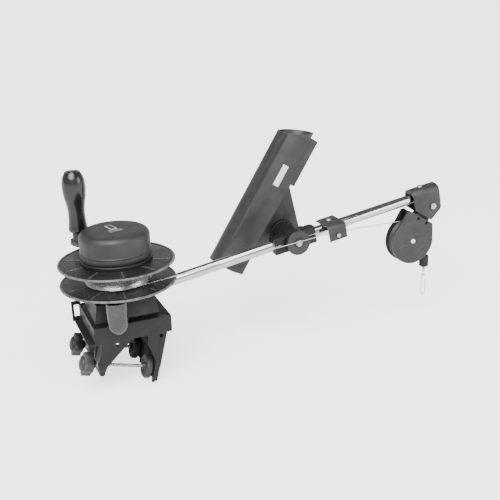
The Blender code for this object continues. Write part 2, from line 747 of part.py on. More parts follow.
def cable_guide():
    x = (GUIDE_AT - GUIDE_LENGTH / 2, GUIDE_AT + GUIDE_LENGTH / 2)
    inner_z = BOOM_R + GAP
    back_y, front_y = GUIDE_BACK, GUIDE_FRONT
    bend = 6 * MM
    outline = [(back_y, inner_z), (back_y, inner_z + SHEET)]
    outline += arc((front_y + bend, inner_z + SHEET - bend), bend, 90, 180, 5)
    outline += [(front_y, -17 * MM), (front_y + SHEET, -17 * MM)]
    outline += arc((front_y + bend, inner_z + SHEET - bend), bend - SHEET, 180, 90, 5)
    strip = sheet_strip("cable_guide", outline, x, PLASTIC, BOOM)
    cut(strip, rod("guide_hole", 3 * MM + GAP, 0, 30 * MM, None, BOOM, "Z", (GUIDE_AT, 2 * MM, 0), 24))
    cut(
        strip,
        rod("guide_pin_hole", 2.5 * MM, -60 * MM, 0, None, BOOM, "Y", (GUIDE_AT, 0, GUIDE_ROLLER_Z), 24),
    )
    boom_screw("guide_screw", GUIDE_AT, 2 * MM, inner_z + SHEET + GAP)
    pin_end = front_y - 1.5 * MM
    pin = [
        (0, -BOOM_R - 2.2 * MM),
        (2.2 * MM, -BOOM_R - 2.2 * MM),
        (2.2 * MM, pin_end + GAP),
        (4 * MM, pin_end + GAP),
        (4 * MM, pin_end - 1.5 * MM),
        (0, pin_end - 1.5 * MM),
    ]
    turned("guide_pin", pin, STEEL, BOOM, "Y", (GUIDE_AT, 0, GUIDE_ROLLER_Z), 16)
    half = 3.8 * MM
    roller = [
        (6 * MM, GUIDE_CABLE_Y + half),
        (3.6 * MM, GUIDE_CABLE_Y),
        (6 * MM, GUIDE_CABLE_Y - half),
        (2.2 * MM + RUNNING, GUIDE_CABLE_Y - half),
        (2.2 * MM + RUNNING, GUIDE_CABLE_Y + half),
    ]
    turned("guide_roller", roller, PLASTIC, BOOM, "Y", (GUIDE_AT, 0, GUIDE_ROLLER_Z), 32, closed=True)


def boom_screw(name, along, across, seat, depth=SHEET):
    """A pan-head screw standing on a sheet over the boom, down to just above the tube."""
    profile = [
        (0, seat + 3 * MM),
        (3.5 * MM, seat + 3 * MM),
        (5.5 * MM, seat + 1.2 * MM),
        (5.5 * MM, seat),
        (2.6 * MM, seat),
        (2.6 * MM, seat - depth),
        (0, seat - depth),
    ]
    return turned(name, profile, STEEL, BOOM, "Z", (along, across, 0), 24)


def end_saddle():
    x = (SADDLE_AT, SADDLE_AT + SADDLE_LENGTH)
    outer, inner = SADDLE_HALF, SADDLE_HALF - SADDLE_WALL
    top, under = SADDLE_TOP, BOOM_R + GAP
    low = -48 * MM
    bend = 14 * MM
    inner_bend = 5 * MM
    outline = [(outer, low)]
    outline += arc((outer - bend, top - bend), bend, 0, 90, 8)
    outline += arc((-outer + bend, top - bend), bend, 90, 180, 8)
    outline += [(-outer, low), (-inner, low)]
    outline += arc((-inner + inner_bend, under - inner_bend), inner_bend, 180, 90, 4)
    outline += arc((inner - inner_bend, under - inner_bend), inner_bend, 90, 0, 4)
    outline += [(inner, low)]
    saddle = sheet_strip("boom_end_saddle", outline, x, PLASTIC, BOOM)
    mid = SADDLE_AT + 32 * MM
    away = [
        (x[0] - 9 * MM, -20 * MM),
        (x[0] + 1 * MM, -20 * MM),
        (mid, -49 * MM),
        (mid, -90 * MM),
        (x[0] - 9 * MM, -90 * MM),
    ]
    far = [(mid - 1 * MM, -90 * MM), (mid - 1 * MM, -49.5 * MM), (x[1] - 2 * MM, -32 * MM)]
    far += [(x[1] + 0.1 * MM, -28 * MM), (x[1] + 9 * MM, -28 * MM), (x[1] + 9 * MM, -90 * MM)]
    cut(saddle, plate("saddle_trim_near", away, (-40 * MM, 40 * MM), None, BOOM))
    cut(saddle, plate("saddle_trim_far", far, (-40 * MM, 40 * MM), None, BOOM))
    cut(
        saddle,
        rod("saddle_pin_hole", 4 * MM + GAP, -30 * MM, 30 * MM, None, BOOM, "Y", (PIN_AT, 0, -PIN_DROP), 24),
    )
    cut(
        saddle,
        rod("saddle_screw_hole", 3 * MM + GAP, 0, 30 * MM, None, BOOM, "Z", (SADDLE_AT + 24 * MM, 0, 0), 24),
    )
    boom_screw("saddle_screw", SADDLE_AT + 24 * MM, 0, top + GAP, SADDLE_TOP - BOOM_R - GAP)
    head = -outer - GAP
    pin = [
        (0, outer + 5 * MM),
        (4 * MM, outer + 5 * MM),
        (4 * MM, head),
        (6 * MM, head),
        (6 * MM, head - 2.5 * MM),
        (0, head - 2.5 * MM),
    ]
    turned("saddle_pin", pin, STEEL, BOOM, "Y", (PIN_AT, 0, -PIN_DROP), 24)
    hole = (PIN_AT, 0, -PIN_DROP)
    ring("pin_clip", 7 * MM, 4 * MM + GAP, outer + GAP, outer + 2 * MM, STEEL, BOOM, "Y", hole, 24)


PIN = boom_point(PIN_AT, 0, -PIN_DROP)
BLOCK = frame(
    "block_frame",
    PIN - Vector((math.sin(BLOCK_LEAN), 0, math.cos(BLOCK_LEAN))) * BLOCK_ARM,
    BLOCK_LEAN,
)


def pulley_block():
    shoulder = 48.5 * MM
    outline = arc((0, 0), CHEEK_R, 158, 385, 40)
    outline += [
        (23 * MM, shoulder - 2 * MM),
        (21 * MM, shoulder),
        (-38 * MM, shoulder),
        (-42 * MM, shoulder - 4 * MM),
    ]
    for side, y in (("front", (-BLOCK_HALF, CHEEK_T - BLOCK_HALF)), ("back", (BLOCK_HALF - CHEEK_T, BLOCK_HALF))):
        cheek = plate(f"pulley_cheek_{side}", outline, y, PLASTIC, BLOCK)
        cut(cheek, rod(f"axle_hole_{side}", AXLE_R + GAP, -30 * MM, 30 * MM, None, BLOCK, "Y", steps=24))
        for i, x in enumerate((-14 * MM, 8 * MM)):
            hole = rod(f"rivet_hole_{side}_{i}", 3.3 * MM, -30 * MM, 30 * MM, None, BLOCK, "Y", steps=16)
            hole.location = (x, 0, 43.5 * MM)
            cut(cheek, hole)
    half = WHEEL_T / 2
    groove = GROOVE_R - CABLE_R - 0.4 * MM
    wheel = [
        (WHEEL_R - 0.2 * MM, half),
        (WHEEL_R - 0.2 * MM, half - 1.5 * MM),
        (groove, 1.6 * MM),
        (groove, -1.6 * MM),
        (WHEEL_R - 0.2 * MM, 1.5 * MM - half),
        (WHEEL_R - 0.2 * MM, -half),
        (AXLE_R + RUNNING, -half),
        (AXLE_R + RUNNING, half),
    ]
    turned("pulley_wheel", wheel, GREY, BLOCK, "Y", closed=True)
    head = BLOCK_HALF + GAP
    axle = [
        (0, head + 2 * MM),
        (6 * MM, head + 2 * MM),
        (7 * MM, head + 1 * MM),
        (7 * MM, head),
        (AXLE_R, head),
        (AXLE_R, -head - 2 * MM),
        (0, -head - 2 * MM),
    ]
    turned("pulley_axle", axle, WHITE, BLOCK, "Y", steps=32)
    gap = BLOCK_HALF - CHEEK_T - GAP
    tab = [(-18 * MM, WHEEL_R + 1 * MM), (14 * MM, WHEEL_R + 1 * MM), (14 * MM, shoulder + 4 * MM)]
    tab += arc((0, BLOCK_ARM), 9 * MM, -20, 200, 14) + [(-18 * MM, shoulder + 4 * MM)]
    hanger = plate("pulley_hanger", tab, (-gap, gap), PLASTIC, BLOCK)
    cut(
        hanger,
        rod("hanger_bore", 4 * MM + RUNNING, -30 * MM, 30 * MM, None, BLOCK, "Y", (0, 0, BLOCK_ARM), 24),
    )
    clear_top = ring(
        "hanger_clear",
        WHEEL_R + 0.6 * MM,
        1 * MM,
        -half - 2 * MM,
        half + 2 * MM,
        None,
        BLOCK,
        "Y",
        steps=36,
    )
    cut(hanger, clear_top)
    for i, x in enumerate((-14 * MM, 8 * MM)):
        hole = rod(f"hanger_hole_{i}", 3.3 * MM, -30 * MM, 30 * MM, None, BLOCK, "Y", (x, 0, 43.5 * MM), 16)
        cut(hanger, hole)


def line_end():
    """The cable from the spool over the end pulley, with its stopper, swivel and snap."""
    x, z = BEAD_X, BEAD_TOP
    rib = BEAD_H / 5
    bead = [(CABLE_R + GAP, z), (6 * MM, z), (BEAD_R - 1 * MM, z - 1.5 * MM)]
    for i in range(5):
        bead += [(BEAD_R, z - (i + 0.5) * rib), (BEAD_R - 1.2 * MM, z - (i + 0.85) * rib)]
    bead += [(6.5 * MM, z - BEAD_H), (CABLE_R + GAP, z - BEAD_H)]
    turned("stopper_bead", bead, RUBBER, at=(x, 0, 0), steps=16, closed=True)
    low = z - BEAD_H - 1 * MM
    barrel = [(0, low), (2.2 * MM, low - 0.4 * MM), (2.6 * MM, low - 2.5 * MM)]
    barrel += [(2.2 * MM, low - 5 * MM), (0, low - 5.4 * MM)]
    body = turned("swivel_barrel", barrel, BRASS, at=(x, 0, 0), steps=20)
    eye_z = low - 7 * MM
    eye = [(x + 2.4 * MM * math.cos(a), 0, eye_z + 2.4 * MM * math.sin(a)) for a in circle_angles(12)]
    join(body, wire("swivel_eye", eye, 0.6 * MM, None, cyclic=True))
    ring_z = eye_z - 5.4 * MM
    loop = [(x, 3.8 * MM * math.cos(a), ring_z + 4.4 * MM * math.sin(a)) for a in circle_angles(14)]
    wire("swivel_ring", loop, 0.6 * MM, STEEL, cyclic=True)
    snap_line(x, ring_z - 4.4 * MM)


def circle_angles(count):
    return [2 * math.pi * i / count for i in range(count)]


def snap_line(x, hang_z):
    """A bent wire snap: a small top eye round the ring and a long closed loop under it."""
    eye_r, loop_r = 2.8 * MM, 4.4 * MM
    top = hang_z - eye_r + 1.7 * MM
    turns = [math.radians(-60 + 300 * i / 14) for i in range(15)]
    points = [(x + eye_r * math.cos(a), 0, top + eye_r * math.sin(a)) for a in turns]
    low = top - SNAP_LENGTH
    side = [(x - loop_r, 0, top - 8 * MM), (x - loop_r, 0, low + loop_r)]
    curve_low = [math.radians(180 + 180 * i / 8) for i in range(9)]
    side += [(x + loop_r * math.cos(a), 0, low + loop_r + loop_r * math.sin(a)) for a in curve_low[1:]]
    side += [(x + loop_r, 0, top - 11 * MM)]
    wire("wire_snap", points + side, SNAP_WIRE, STEEL)


def cable():
    """The lead from the winding past the guide roller, then over the wheel and down to the swivel."""
    start = Vector((2 * MM, -WINDING_R - CABLE_R - 0.4 * MM, FLANGE_Z + FLANGE_T + 3 * MM))
    guide = boom_point(GUIDE_AT, GUIDE_CABLE_Y, GUIDE_ROLLER_Z + 3.6 * MM + CABLE_R + 0.4 * MM)
    axle = BLOCK.location
    top = axle + Vector((0, 0, GROOVE_R))
    count = 20
    points = [start.lerp(guide, i / count) for i in range(count)]
    points += [guide.lerp(top, i / 12) for i in range(12)]
    drop = Vector((BEAD_X, 0, BEAD_TOP)) - axle
    leave = math.atan2(drop.z, drop.x) + math.acos(GROOVE_R / Vector((drop.x, drop.z)).length)
    turns = 14
    for i in range(turns + 1):
        angle = math.pi / 2 + (leave - math.pi / 2) * i / turns
        points.append(axle + Vector((math.cos(angle), 0, math.sin(angle))) * GROOVE_R)
    points += [Vector((BEAD_X, 0, BEAD_TOP + 1 * MM)), Vector((BEAD_X, 0, BEAD_TOP - BEAD_H - 0.6 * MM))]
    wire("cable_run", points, CABLE_R, STEEL)


HUB = frame("hub_frame", boom_point(HUB_AT), 0.0)


def boom_mount():
    """A round hub across the boom, with a jaw above and below the tube inside it."""
    hub = rod("mount_hub", HUB_R, HUB_Y[0], HUB_Y[1], PLASTIC, HUB, "Y", steps=48)
    slot_z = BOOM_R + JAW_HEIGHT - 1 * MM
    tilt = frame("jaw_frame", (0, 0, 0), -BOOM_RISE, HUB)
    half = JAW_WIDTH / 2 + GAP
    slot = box("hub_slot", (-60 * MM, 60 * MM), (-half, half), (-slot_z - GAP, slot_z + GAP), None, tilt)
    cut(hub, slot)
    for side, sign in (("upper", 1), ("lower", -1)):
        ends = sorted((sign * 1.5 * MM, sign * slot_z))
        jaw = box(
            f"mount_jaw_{side}",
            (-JAW_LENGTH / 2, JAW_LENGTH / 2),
            (1 * MM - half, half - 1 * MM),
            ends,
            PLASTIC,
            tilt,
        )
        cut(jaw, rod(f"jaw_bore_{side}", BOOM_R + GAP, -90 * MM, 90 * MM, None, tilt, "X", steps=48))
        for i in (-1, 1):
            x = sorted((i * (JAW_LENGTH / 2 + 1 * MM), i * (HUB_R + 4 * MM)))
            z = sorted((sign * (slot_z - 2 * MM), sign * (slot_z + 5 * MM)))
            cut(jaw, box(f"jaw_step_{side}_{i}", x, (4 * MM, 20 * MM), z, None, tilt))
    face = HUB_Y[0] - GAP
    disc = [
        (3.5 * MM, face),
        (DISC_R, face),
        (DISC_R, face - DISC_T + 1.2 * MM),
        (DISC_R - 1.2 * MM, face - DISC_T),
        (11 * MM, face - DISC_T),
        (9.5 * MM, face - DISC_T + 2 * MM),
        (3.5 * MM, face - DISC_T + 2 * MM),
    ]
    turned("mount_front_disc", disc, GREY, HUB, "Y", steps=36, closed=True)
    seat = face - DISC_T + 2 * MM - GAP
    head = plate("mount_front_bolt", hexagon(11 * MM, 0.3), (seat - 3.5 * MM, seat), STEEL, HUB)
    join(
        head,
        rod("front_bolt_shank", 3 * MM, seat - 1 * MM, face + 0.1 * MM + 2 * MM, None, HUB, "Y", steps=16),
    )
    cut(hub, rod("front_bolt_hole", 3.5 * MM, face - 3 * MM, HUB_Y[0] + 6 * MM, None, HUB, "Y", steps=16))
    rod("mount_set_screw", 3 * MM, -HUB_R - 3 * MM, -slot_z - 4 * GAP, STEEL, HUB, steps=16)
    cut(hub, rod("set_screw_hole", 3 * MM + GAP, -HUB_R - 5 * MM, 0, None, HUB, steps=16))


def rod_holder():
    """A long tube beside the hub, with a web that carries a toothed ring on the hub's axis."""
    rear = HUB_Y[1] + GAP
    y = rear + ROD_R - 3 * MM
    lean = frame("rod_frame", HUB.location, ROD_LEAN)
    axis_x = -ROD_OFFSET
    tube = rod(
        "rod_holder_tube", ROD_R, -ROD_BELOW, ROD_LENGTH - ROD_BELOW, PLASTIC, lean, "Z", (axis_x, y, 0), 40
    )
    face = y - ROD_R - PANEL_PROUD
    left, right = axis_x - PANEL_HALF, axis_x + PANEL_HALF
    bottom, top = 2 * MM - ROD_BELOW, ROD_LENGTH - ROD_BELOW - 16 * MM
    panel = box("rod_panel", (left, right), (face, y), (bottom, top), None, lean)
    fin = box(
        "rod_fin",
        (right - 8 * MM, axis_x + ROD_R + FIN_OUT),
        (face, face + 4 * MM),
        (86 * MM, top),
        None,
        lean,
    )
    join(tube, panel, fin)
    inside = (left + PANEL_BORDER, right - PANEL_BORDER)
    height = (bottom + 2 * PANEL_BORDER, top - 2 * PANEL_BORDER)
    recess = box("rod_recess", inside, (face - 9 * MM, face + PANEL_RECESS), height, None, lean)
    web = [
        (axis_x + ROD_R - 8 * MM, 82 * MM),
        (axis_x + 4 * MM, 60 * MM),
        (axis_x + 4 * MM, -70 * MM),
        (axis_x + ROD_R - 6 * MM, -80 * MM),
    ]
    web += arc((0, 0), GEAR_R + 3 * MM, -115, -20, 10)
    web += [(37 * MM, 3 * MM), (37 * MM, 14 * MM), (axis_x + ROD_R - 3 * MM, 86 * MM)]
    web_end = rear + GEAR_T + GAP + WEB_T
    join(tube, plate("rod_web", web, (rear + GEAR_T + GAP, web_end), None, lean))
    cut(tube, recess)
    bore = rod(
        "rod_bore", ROD_R - ROD_WALL, -ROD_BELOW - 50 * MM, ROD_LENGTH, None, lean, "Z", (axis_x, y, 0), 40
    )
    cut(tube, bore)
    slant = box("rod_top_cut", (-150 * MM, 150 * MM), (-150 * MM, 250 * MM), (0, 150 * MM), None, lean)
    slant.location = (axis_x, 0, ROD_LENGTH - ROD_BELOW - 18 * MM)
    slant.rotation_euler = (0, -ROD_TOP_CUT, 0)
    cut(tube, slant)
    cut(tube, rod("web_hole", 4.4 * MM, rear - 5 * MM, rear + 60 * MM, None, lean, "Y", steps=24))
    gear = toothed_ring("rod_holder_gear", rear, rear + GEAR_T)
    cut(gear, rod("gear_hole", 4.4 * MM, rear - 9 * MM, rear + 30 * MM, None, HUB, "Y", steps=24))
    tip = web_end + GAP
    knob = [
        (0, tip + 16 * MM),
        (10 * MM, tip + 16 * MM),
        (13 * MM, tip + 13 * MM),
        (14 * MM, tip + 2 * MM),
        (11 * MM, tip),
        (4 * MM, tip),
        (4 * MM, rear - 4 * MM),
        (0, rear - 4 * MM),
    ]
    turned("rod_holder_knob", knob, PLASTIC, HUB, "Y", steps=32)
    bolt_hole = rod("rear_bolt_hole", 4 * MM + GAP, rear - 5 * MM, rear + 9 * MM, None, HUB, "Y", steps=24)
    cut(bpy.data.objects["mount_hub"], bolt_hole)
    label_y = face + PANEL_RECESS - GAP
    label_x = (axis_x - LABEL_SIZE[0] / 2, axis_x + LABEL_SIZE[0] / 2)
    label_z = (LABEL_UP - LABEL_SIZE[1] / 2, LABEL_UP + LABEL_SIZE[1] / 2)
    box("rod_holder_plate", label_x, (label_y - LABEL_T, label_y), label_z, WHITE, lean)


def toothed_ring(name, low, high):
    points = []
    for i in range(GEAR_TEETH * 2):
        angle = math.pi * i / GEAR_TEETH
        radius = GEAR_R if i % 2 else GEAR_R - 1.8 * MM
        points.append((radius * math.cos(angle), radius * math.sin(angle)))
    return plate(name, points, (low, high), PLASTIC, HUB)


clamp_bracket()
jaw_lining()
clamp_screws()
reel_base()
spindle()
ratchet_gear()
pawl()
spool()
crank()
brake_cap()
grip()
front_pocket()
boom()
cable_guide()
end_saddle()
pulley_block()
line_end()
cable()
boom_mount()
rod_holder()
bpy.context.view_layer.update()
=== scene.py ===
import json
import math
import bmesh
import bpy
from mathutils import Matrix, Vector


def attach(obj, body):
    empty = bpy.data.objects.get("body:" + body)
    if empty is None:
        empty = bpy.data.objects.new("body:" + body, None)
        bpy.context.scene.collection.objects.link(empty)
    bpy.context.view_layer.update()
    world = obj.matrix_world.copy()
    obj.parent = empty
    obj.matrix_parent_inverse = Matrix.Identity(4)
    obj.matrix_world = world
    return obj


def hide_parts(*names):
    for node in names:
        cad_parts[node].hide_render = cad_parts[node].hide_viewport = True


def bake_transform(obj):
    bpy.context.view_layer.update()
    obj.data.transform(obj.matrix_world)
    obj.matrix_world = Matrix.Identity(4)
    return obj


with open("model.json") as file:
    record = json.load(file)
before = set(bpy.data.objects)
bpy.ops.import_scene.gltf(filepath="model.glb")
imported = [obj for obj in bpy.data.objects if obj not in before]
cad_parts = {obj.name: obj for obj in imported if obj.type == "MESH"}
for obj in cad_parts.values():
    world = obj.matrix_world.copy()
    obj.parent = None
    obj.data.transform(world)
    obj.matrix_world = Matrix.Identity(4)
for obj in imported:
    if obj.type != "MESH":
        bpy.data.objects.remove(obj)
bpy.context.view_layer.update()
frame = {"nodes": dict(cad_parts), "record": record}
print("frame loaded with", len(frame["nodes"]), "nodes")

mm = 0.001
cadNodes = frame["nodes"]
bodyOf = {}
for bodyName, members in frame["record"]["behaviour"]["bodies"].items():
    for member in members:
        bodyOf[member] = bodyName
slotOf = {part["node"]: part["material_slot"] for part in frame["record"]["subparts"]}


# finishes

def addNode(tree, kind, values=None, **settings):
    made = tree.nodes.new(kind)
    for key, value in settings.items():
        setattr(made, key, value)
    for key, value in (values or {}).items():
        made.inputs[key].default_value = value
    return made


def mapped(tree, source, fromRange, toRange):
    node = addNode(tree, "ShaderNodeMapRange")
    for key, value in zip(("From Min", "From Max", "To Min", "To Max"), (*fromRange, *toRange)):
        node.inputs[key].default_value = value
    tree.links.new(source, node.inputs["Value"])
    return node.outputs["Result"]


def blendColour(tree, factor, first, second):
    node = addNode(tree, "ShaderNodeMix", data_type="RGBA")
    for socket, value in ((node.inputs[6], first), (node.inputs[7], second)):
        if isinstance(value, tuple):
            socket.default_value = (*value, 1)
        else:
            tree.links.new(value, socket)
    tree.links.new(factor, node.inputs[0])
    return node.outputs[2]


def patchyNoise(tree, coords, scale, detail=4.0, stretch=(1, 1, 1), turn=(0, 0, 0)):
    place = addNode(tree, "ShaderNodeMapping", {"Scale": stretch, "Rotation": turn})
    tree.links.new(coords, place.inputs["Vector"])
    noise = addNode(tree, "ShaderNodeTexNoise", {"Scale": scale, "Detail": detail, "Roughness": 0.55})
    tree.links.new(place.outputs[0], noise.inputs["Vector"])
    return noise.outputs["Fac"]


# how each noise is stretched into a mask, and how far the bumps reach
noiseRules = {
    "mottleRange": (0.32, 0.68), "fleckRange": (0.58, 0.74), "unevenRange": (0.3, 0.7), "unevenFiner": 2.3,
    "wearAndHighlightScale": 160, "wearAndHighlightRange": (0.35, 0.7), "wearAndHighlightWidth": 0.9 * mm, "edgeRange": (0.84, 0.99),
    "scratchScale": 70, "scratchRange": (0.60, 0.66), "scratchTurn": (0.4, 0.2, 0.7), "wobbleDepth": 0.4 * mm,
}


def edgeWearAndHighlightMask(tree, radius, breakUp):
    # how far the rounded normal leans from the flat one, broken up by a noise: where edges take the worn colour
    # and a painted highlight
    soft = addNode(tree, "ShaderNodeBevel", {"Radius": radius}, samples=4)
    flat = addNode(tree, "ShaderNodeNewGeometry")
    dot = addNode(tree, "ShaderNodeVectorMath", operation="DOT_PRODUCT")
    tree.links.new(soft.outputs[0], dot.inputs[0])
    tree.links.new(flat.outputs["Normal"], dot.inputs[1])
    edge = mapped(tree, dot.outputs["Value"], noiseRules["edgeRange"], (1, 0))
    wornAndHighlitEdge = addNode(tree, "ShaderNodeMath", operation="MULTIPLY")
    tree.links.new(edge, wornAndHighlitEdge.inputs[0])
    tree.links.new(breakUp, wornAndHighlitEdge.inputs[1])
    return wornAndHighlitEdge.outputs[0]


def makeFinish(name, look):
    # one finish: mottled colour, worn edges lightened also as a painted highlight, uneven roughness, then grain
    # and scratches as bump
    made = bpy.data.materials.new(name)
    made.use_nodes = True
    tree = made.node_tree
    shader = tree.nodes["Principled BSDF"]
    for key in ("Metallic", "Coat Weight", "Coat Roughness", "IOR"):
        if key in look:
            shader.inputs[key].default_value = look[key]
    coords = addNode(tree, "ShaderNodeTexCoord").outputs["Object"]
    wide = patchyNoise(tree, coords, look["mottleScale"], 5)
    mottle = mapped(tree, wide, noiseRules["mottleRange"], (0, 1))
    colour = blendColour(tree, mottle, look["dark"], look["light"])
    stretch = look.get("stretch", (1, 1, 1))
    grain = patchyNoise(tree, coords, look["grainScale"], 3, stretch, look.get("turn", (0, 0, 0)))
    if look.get("fleck", 0):
        fleck = mapped(tree, grain, noiseRules["fleckRange"], (0, look["fleck"]))
        colour = blendColour(tree, fleck, colour, look["edge"])
    # the lighter edges are wear together with a painted highlight along every edge
    if look.get("wear", 0):
        patches = patchyNoise(tree, coords, noiseRules["wearAndHighlightScale"], 3)
        breakUp = mapped(tree, patches, noiseRules["wearAndHighlightRange"], (0.25 * look["wear"], look["wear"]))
        wornAndHighlitEdge = edgeWearAndHighlightMask(tree, look.get("wearAndHighlightWidth", noiseRules["wearAndHighlightWidth"]), breakUp)
        colour = blendColour(tree, wornAndHighlitEdge, colour, look["edge"])
    scratchStretch = look.get("scratchStretch", (1, 9, 1))
    lines = patchyNoise(tree, coords, noiseRules["scratchScale"], 6, scratchStretch, noiseRules["scratchTurn"])
    scratch = mapped(tree, lines, noiseRules["scratchRange"], (0, 1))
    finer = patchyNoise(tree, coords, look["mottleScale"] * noiseRules["unevenFiner"], 4)
    uneven = mapped(tree, finer, noiseRules["unevenRange"], look["roughness"])
    scratched = addNode(tree, "ShaderNodeMath", {1: look.get("scratch", 0.05)}, operation="MULTIPLY")
    tree.links.new(scratch, scratched.inputs[0])
    total = addNode(tree, "ShaderNodeMath", operation="ADD", use_clamp=True)
    tree.links.new(uneven, total.inputs[0])
    tree.links.new(scratched.outputs[0], total.inputs[1])
    tree.links.new(total.outputs[0], shader.inputs["Roughness"])
    tree.links.new(colour, shader.inputs["Base Color"])
    bump = addNode(tree, "ShaderNodeBump", {"Strength": look["grain"], "Distance": look.get("depth", 0.1) * mm})
    tree.links.new(grain, bump.inputs["Height"])
    second = addNode(tree, "ShaderNodeBump", {
        "Strength": look.get("wobble", 0.15), "Distance": noiseRules["wobbleDepth"]})
    tree.links.new(wide, second.inputs["Height"])
    tree.links.new(bump.outputs[0], second.inputs["Normal"])
    tree.links.new(second.outputs[0], shader.inputs["Normal"])
    return made


# edge: the colour of flecks and of the lightened edges, which are wear and a painted highlight
finishLooks = {
    "mouldedBlack": {
        "dark": (0.005, 0.005, 0.0055), "light": (0.011, 0.011, 0.0115), "edge": (0.12, 0.12, 0.125),
        "mottleScale": 26, "grainScale": 1500, "grain": 0.35, "depth": 0.12,
        "roughness": (0.36, 0.5), "wear": 0.55, "IOR": 1.42,
    },
    "mouldedGrey": {
        "dark": (0.018, 0.018, 0.019), "light": (0.030, 0.030, 0.032), "edge": (0.2, 0.2, 0.205),
        "mottleScale": 30, "grainScale": 1500, "grain": 0.35, "depth": 0.12,
        "roughness": (0.38, 0.52), "wear": 0.6, "IOR": 1.5,
    },
    "pebbleBlack": {
        "dark": (0.006, 0.006, 0.007), "light": (0.016, 0.016, 0.017), "edge": (0.34, 0.34, 0.35),
        "mottleScale": 40, "grainScale": 620, "grain": 0.9, "depth": 0.35, "fleck": 0.22,
        "roughness": (0.24, 0.38), "wear": 0.9, "wearAndHighlightWidth": 1.1 * mm, "IOR": 1.52,
    },
    "glossBlack": {
        "dark": (0.003, 0.003, 0.0035), "light": (0.007, 0.007, 0.0075), "edge": (0.07, 0.07, 0.075),
        "mottleScale": 22, "grainScale": 900, "grain": 0.08, "depth": 0.05,
        "roughness": (0.16, 0.26), "wear": 0.35, "IOR": 1.52, "Coat Weight": 0.3, "Coat Roughness": 0.12,
    },
    "softRubber": {
        "dark": (0.012, 0.012, 0.012), "light": (0.024, 0.024, 0.023), "edge": (0.08, 0.08, 0.08),
        "mottleScale": 60, "grainScale": 1100, "grain": 0.6, "depth": 0.2,
        "roughness": (0.62, 0.82), "wear": 0.3, "IOR": 1.5,
    },
    "brightSteel": {
        "dark": (0.42, 0.42, 0.43), "light": (0.62, 0.62, 0.63), "edge": (0.78, 0.78, 0.79),
        "mottleScale": 120, "grainScale": 700, "grain": 0.25, "depth": 0.05, "stretch": (1, 1, 12),
        "roughness": (0.22, 0.38), "wear": 0.4, "Metallic": 1.0,
    },
    "tubeChrome": {
        "dark": (0.60, 0.60, 0.615), "light": (0.72, 0.72, 0.735), "edge": (0.8, 0.8, 0.8),
        "mottleScale": 18, "grainScale": 1400, "grain": 0.06, "depth": 0.03, "stretch": (0.02, 1, 1),
        "turn": (0, math.radians(9.2), 0), "roughness": (0.09, 0.18), "scratch": 0.12,
        "scratchStretch": (0.3, 14, 14), "wobble": 0.03, "Metallic": 1.0,
    },
    "woundSteel": {
        "dark": (0.50, 0.50, 0.51), "light": (0.82, 0.82, 0.83), "edge": (0.9, 0.9, 0.9),
        "mottleScale": 45, "grainScale": 500, "grain": 0.12, "depth": 0.05, "stretch": (1, 1, 8),
        "roughness": (0.16, 0.30), "Metallic": 1.0, "wobble": 0.1,
    },
    # a lighter grey: on the flange rims a painted highlight, on the cap badge the plate's own grey
    "lightGreyAndRimHighlight": {
        "dark": (0.05, 0.05, 0.052), "light": (0.17, 0.17, 0.175), "edge": (0.45, 0.45, 0.46),
        "mottleScale": 90, "grainScale": 700, "grain": 0.4, "depth": 0.12, "fleck": 0.5,
        "roughness": (0.22, 0.36), "IOR": 1.52,
    },
    "smokedPlastic": {
        "dark": (0.020, 0.020, 0.021), "light": (0.034, 0.034, 0.036), "edge": (0.35, 0.35, 0.36),
        "mottleScale": 60, "grainScale": 900, "grain": 0.05, "depth": 0.04, "wear": 0.5,
        "roughness": (0.10, 0.2), "IOR": 1.5, "Coat Weight": 0.5, "Coat Roughness": 0.06,
    },
    "whitePlate": {
        "dark": (0.72, 0.72, 0.71), "light": (0.84, 0.84, 0.83), "edge": (0.5, 0.5, 0.5),
        "mottleScale": 60, "grainScale": 1200, "grain": 0.15, "depth": 0.05,
        "roughness": (0.3, 0.42), "wear": 0.2, "IOR": 1.5,
    },
    "turnedBrass": {
        "dark": (0.50, 0.40, 0.22), "light": (0.66, 0.54, 0.30), "edge": (0.8, 0.7, 0.45),
        "mottleScale": 150, "grainScale": 1500, "grain": 0.2, "depth": 0.04,
        "roughness": (0.2, 0.34), "wear": 0.4, "Metallic": 1.0,
    },
}
finishes = {name: makeFinish(name, look) for name, look in finishLooks.items()}
print("finishes made:", len(finishes))


# shapes

def asObject(name, shape, sharp=34):
    mesh = bpy.data.meshes.new(name)
    shape.to_mesh(mesh)
    shape.free()
    return shaded(linked(name, mesh), sharp)


def linked(name, mesh):
    made = bpy.data.objects.new(name, mesh)
    bpy.context.scene.collection.objects.link(made)
    return made


def shaded(made, sharp=34):
    mesh = made.data
    mesh.polygons.foreach_set("use_smooth", [True] * len(mesh.polygons))
    mesh.set_sharp_from_angle(angle=math.radians(sharp))
    return made


def plain(made):
    # turns what the modifiers give into the object's own mesh
    bpy.context.view_layer.update()
    graph = bpy.context.evaluated_depsgraph_get()
    mesh = bpy.data.meshes.new_from_object(made.evaluated_get(graph))
    made.modifiers.clear()
    made.data = mesh
    return made


def settle(made, finish, body, slotName, *replaced):
    made.data.materials.clear()
    made.data.materials.append(finishes[finish])
    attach(made, body)
    if replaced:
        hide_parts(*replaced)


def rounded(profile, radius, cuts=3, closed=False, least=20):
    # the same outline with each sharp corner turned into a short arc
    longest = 0.42  # of a side that one arc may take
    count = len(profile)
    made = []
    for i, here in enumerate(profile):
        if not closed and i in (0, count - 1):
            made.append(tuple(here))
            continue
        point = Vector(here)
        before = Vector(profile[i - 1]) - point
        after = Vector(profile[(i + 1) % count]) - point
        if before.length < 1e-9 or after.length < 1e-9:
            continue
        bend = math.pi - before.angle(after)
        if math.degrees(bend) < least:
            made.append(tuple(here))
            continue
        reach = min(radius, longest * before.length, longest * after.length)
        first, last = point + before.normalized() * reach, point + after.normalized() * reach
        for k in range(cuts + 1):
            t = k / cuts
            made.append(tuple(first * (1 - t) ** 2 + point * 2 * t * (1 - t) + last * t * t))
    return made


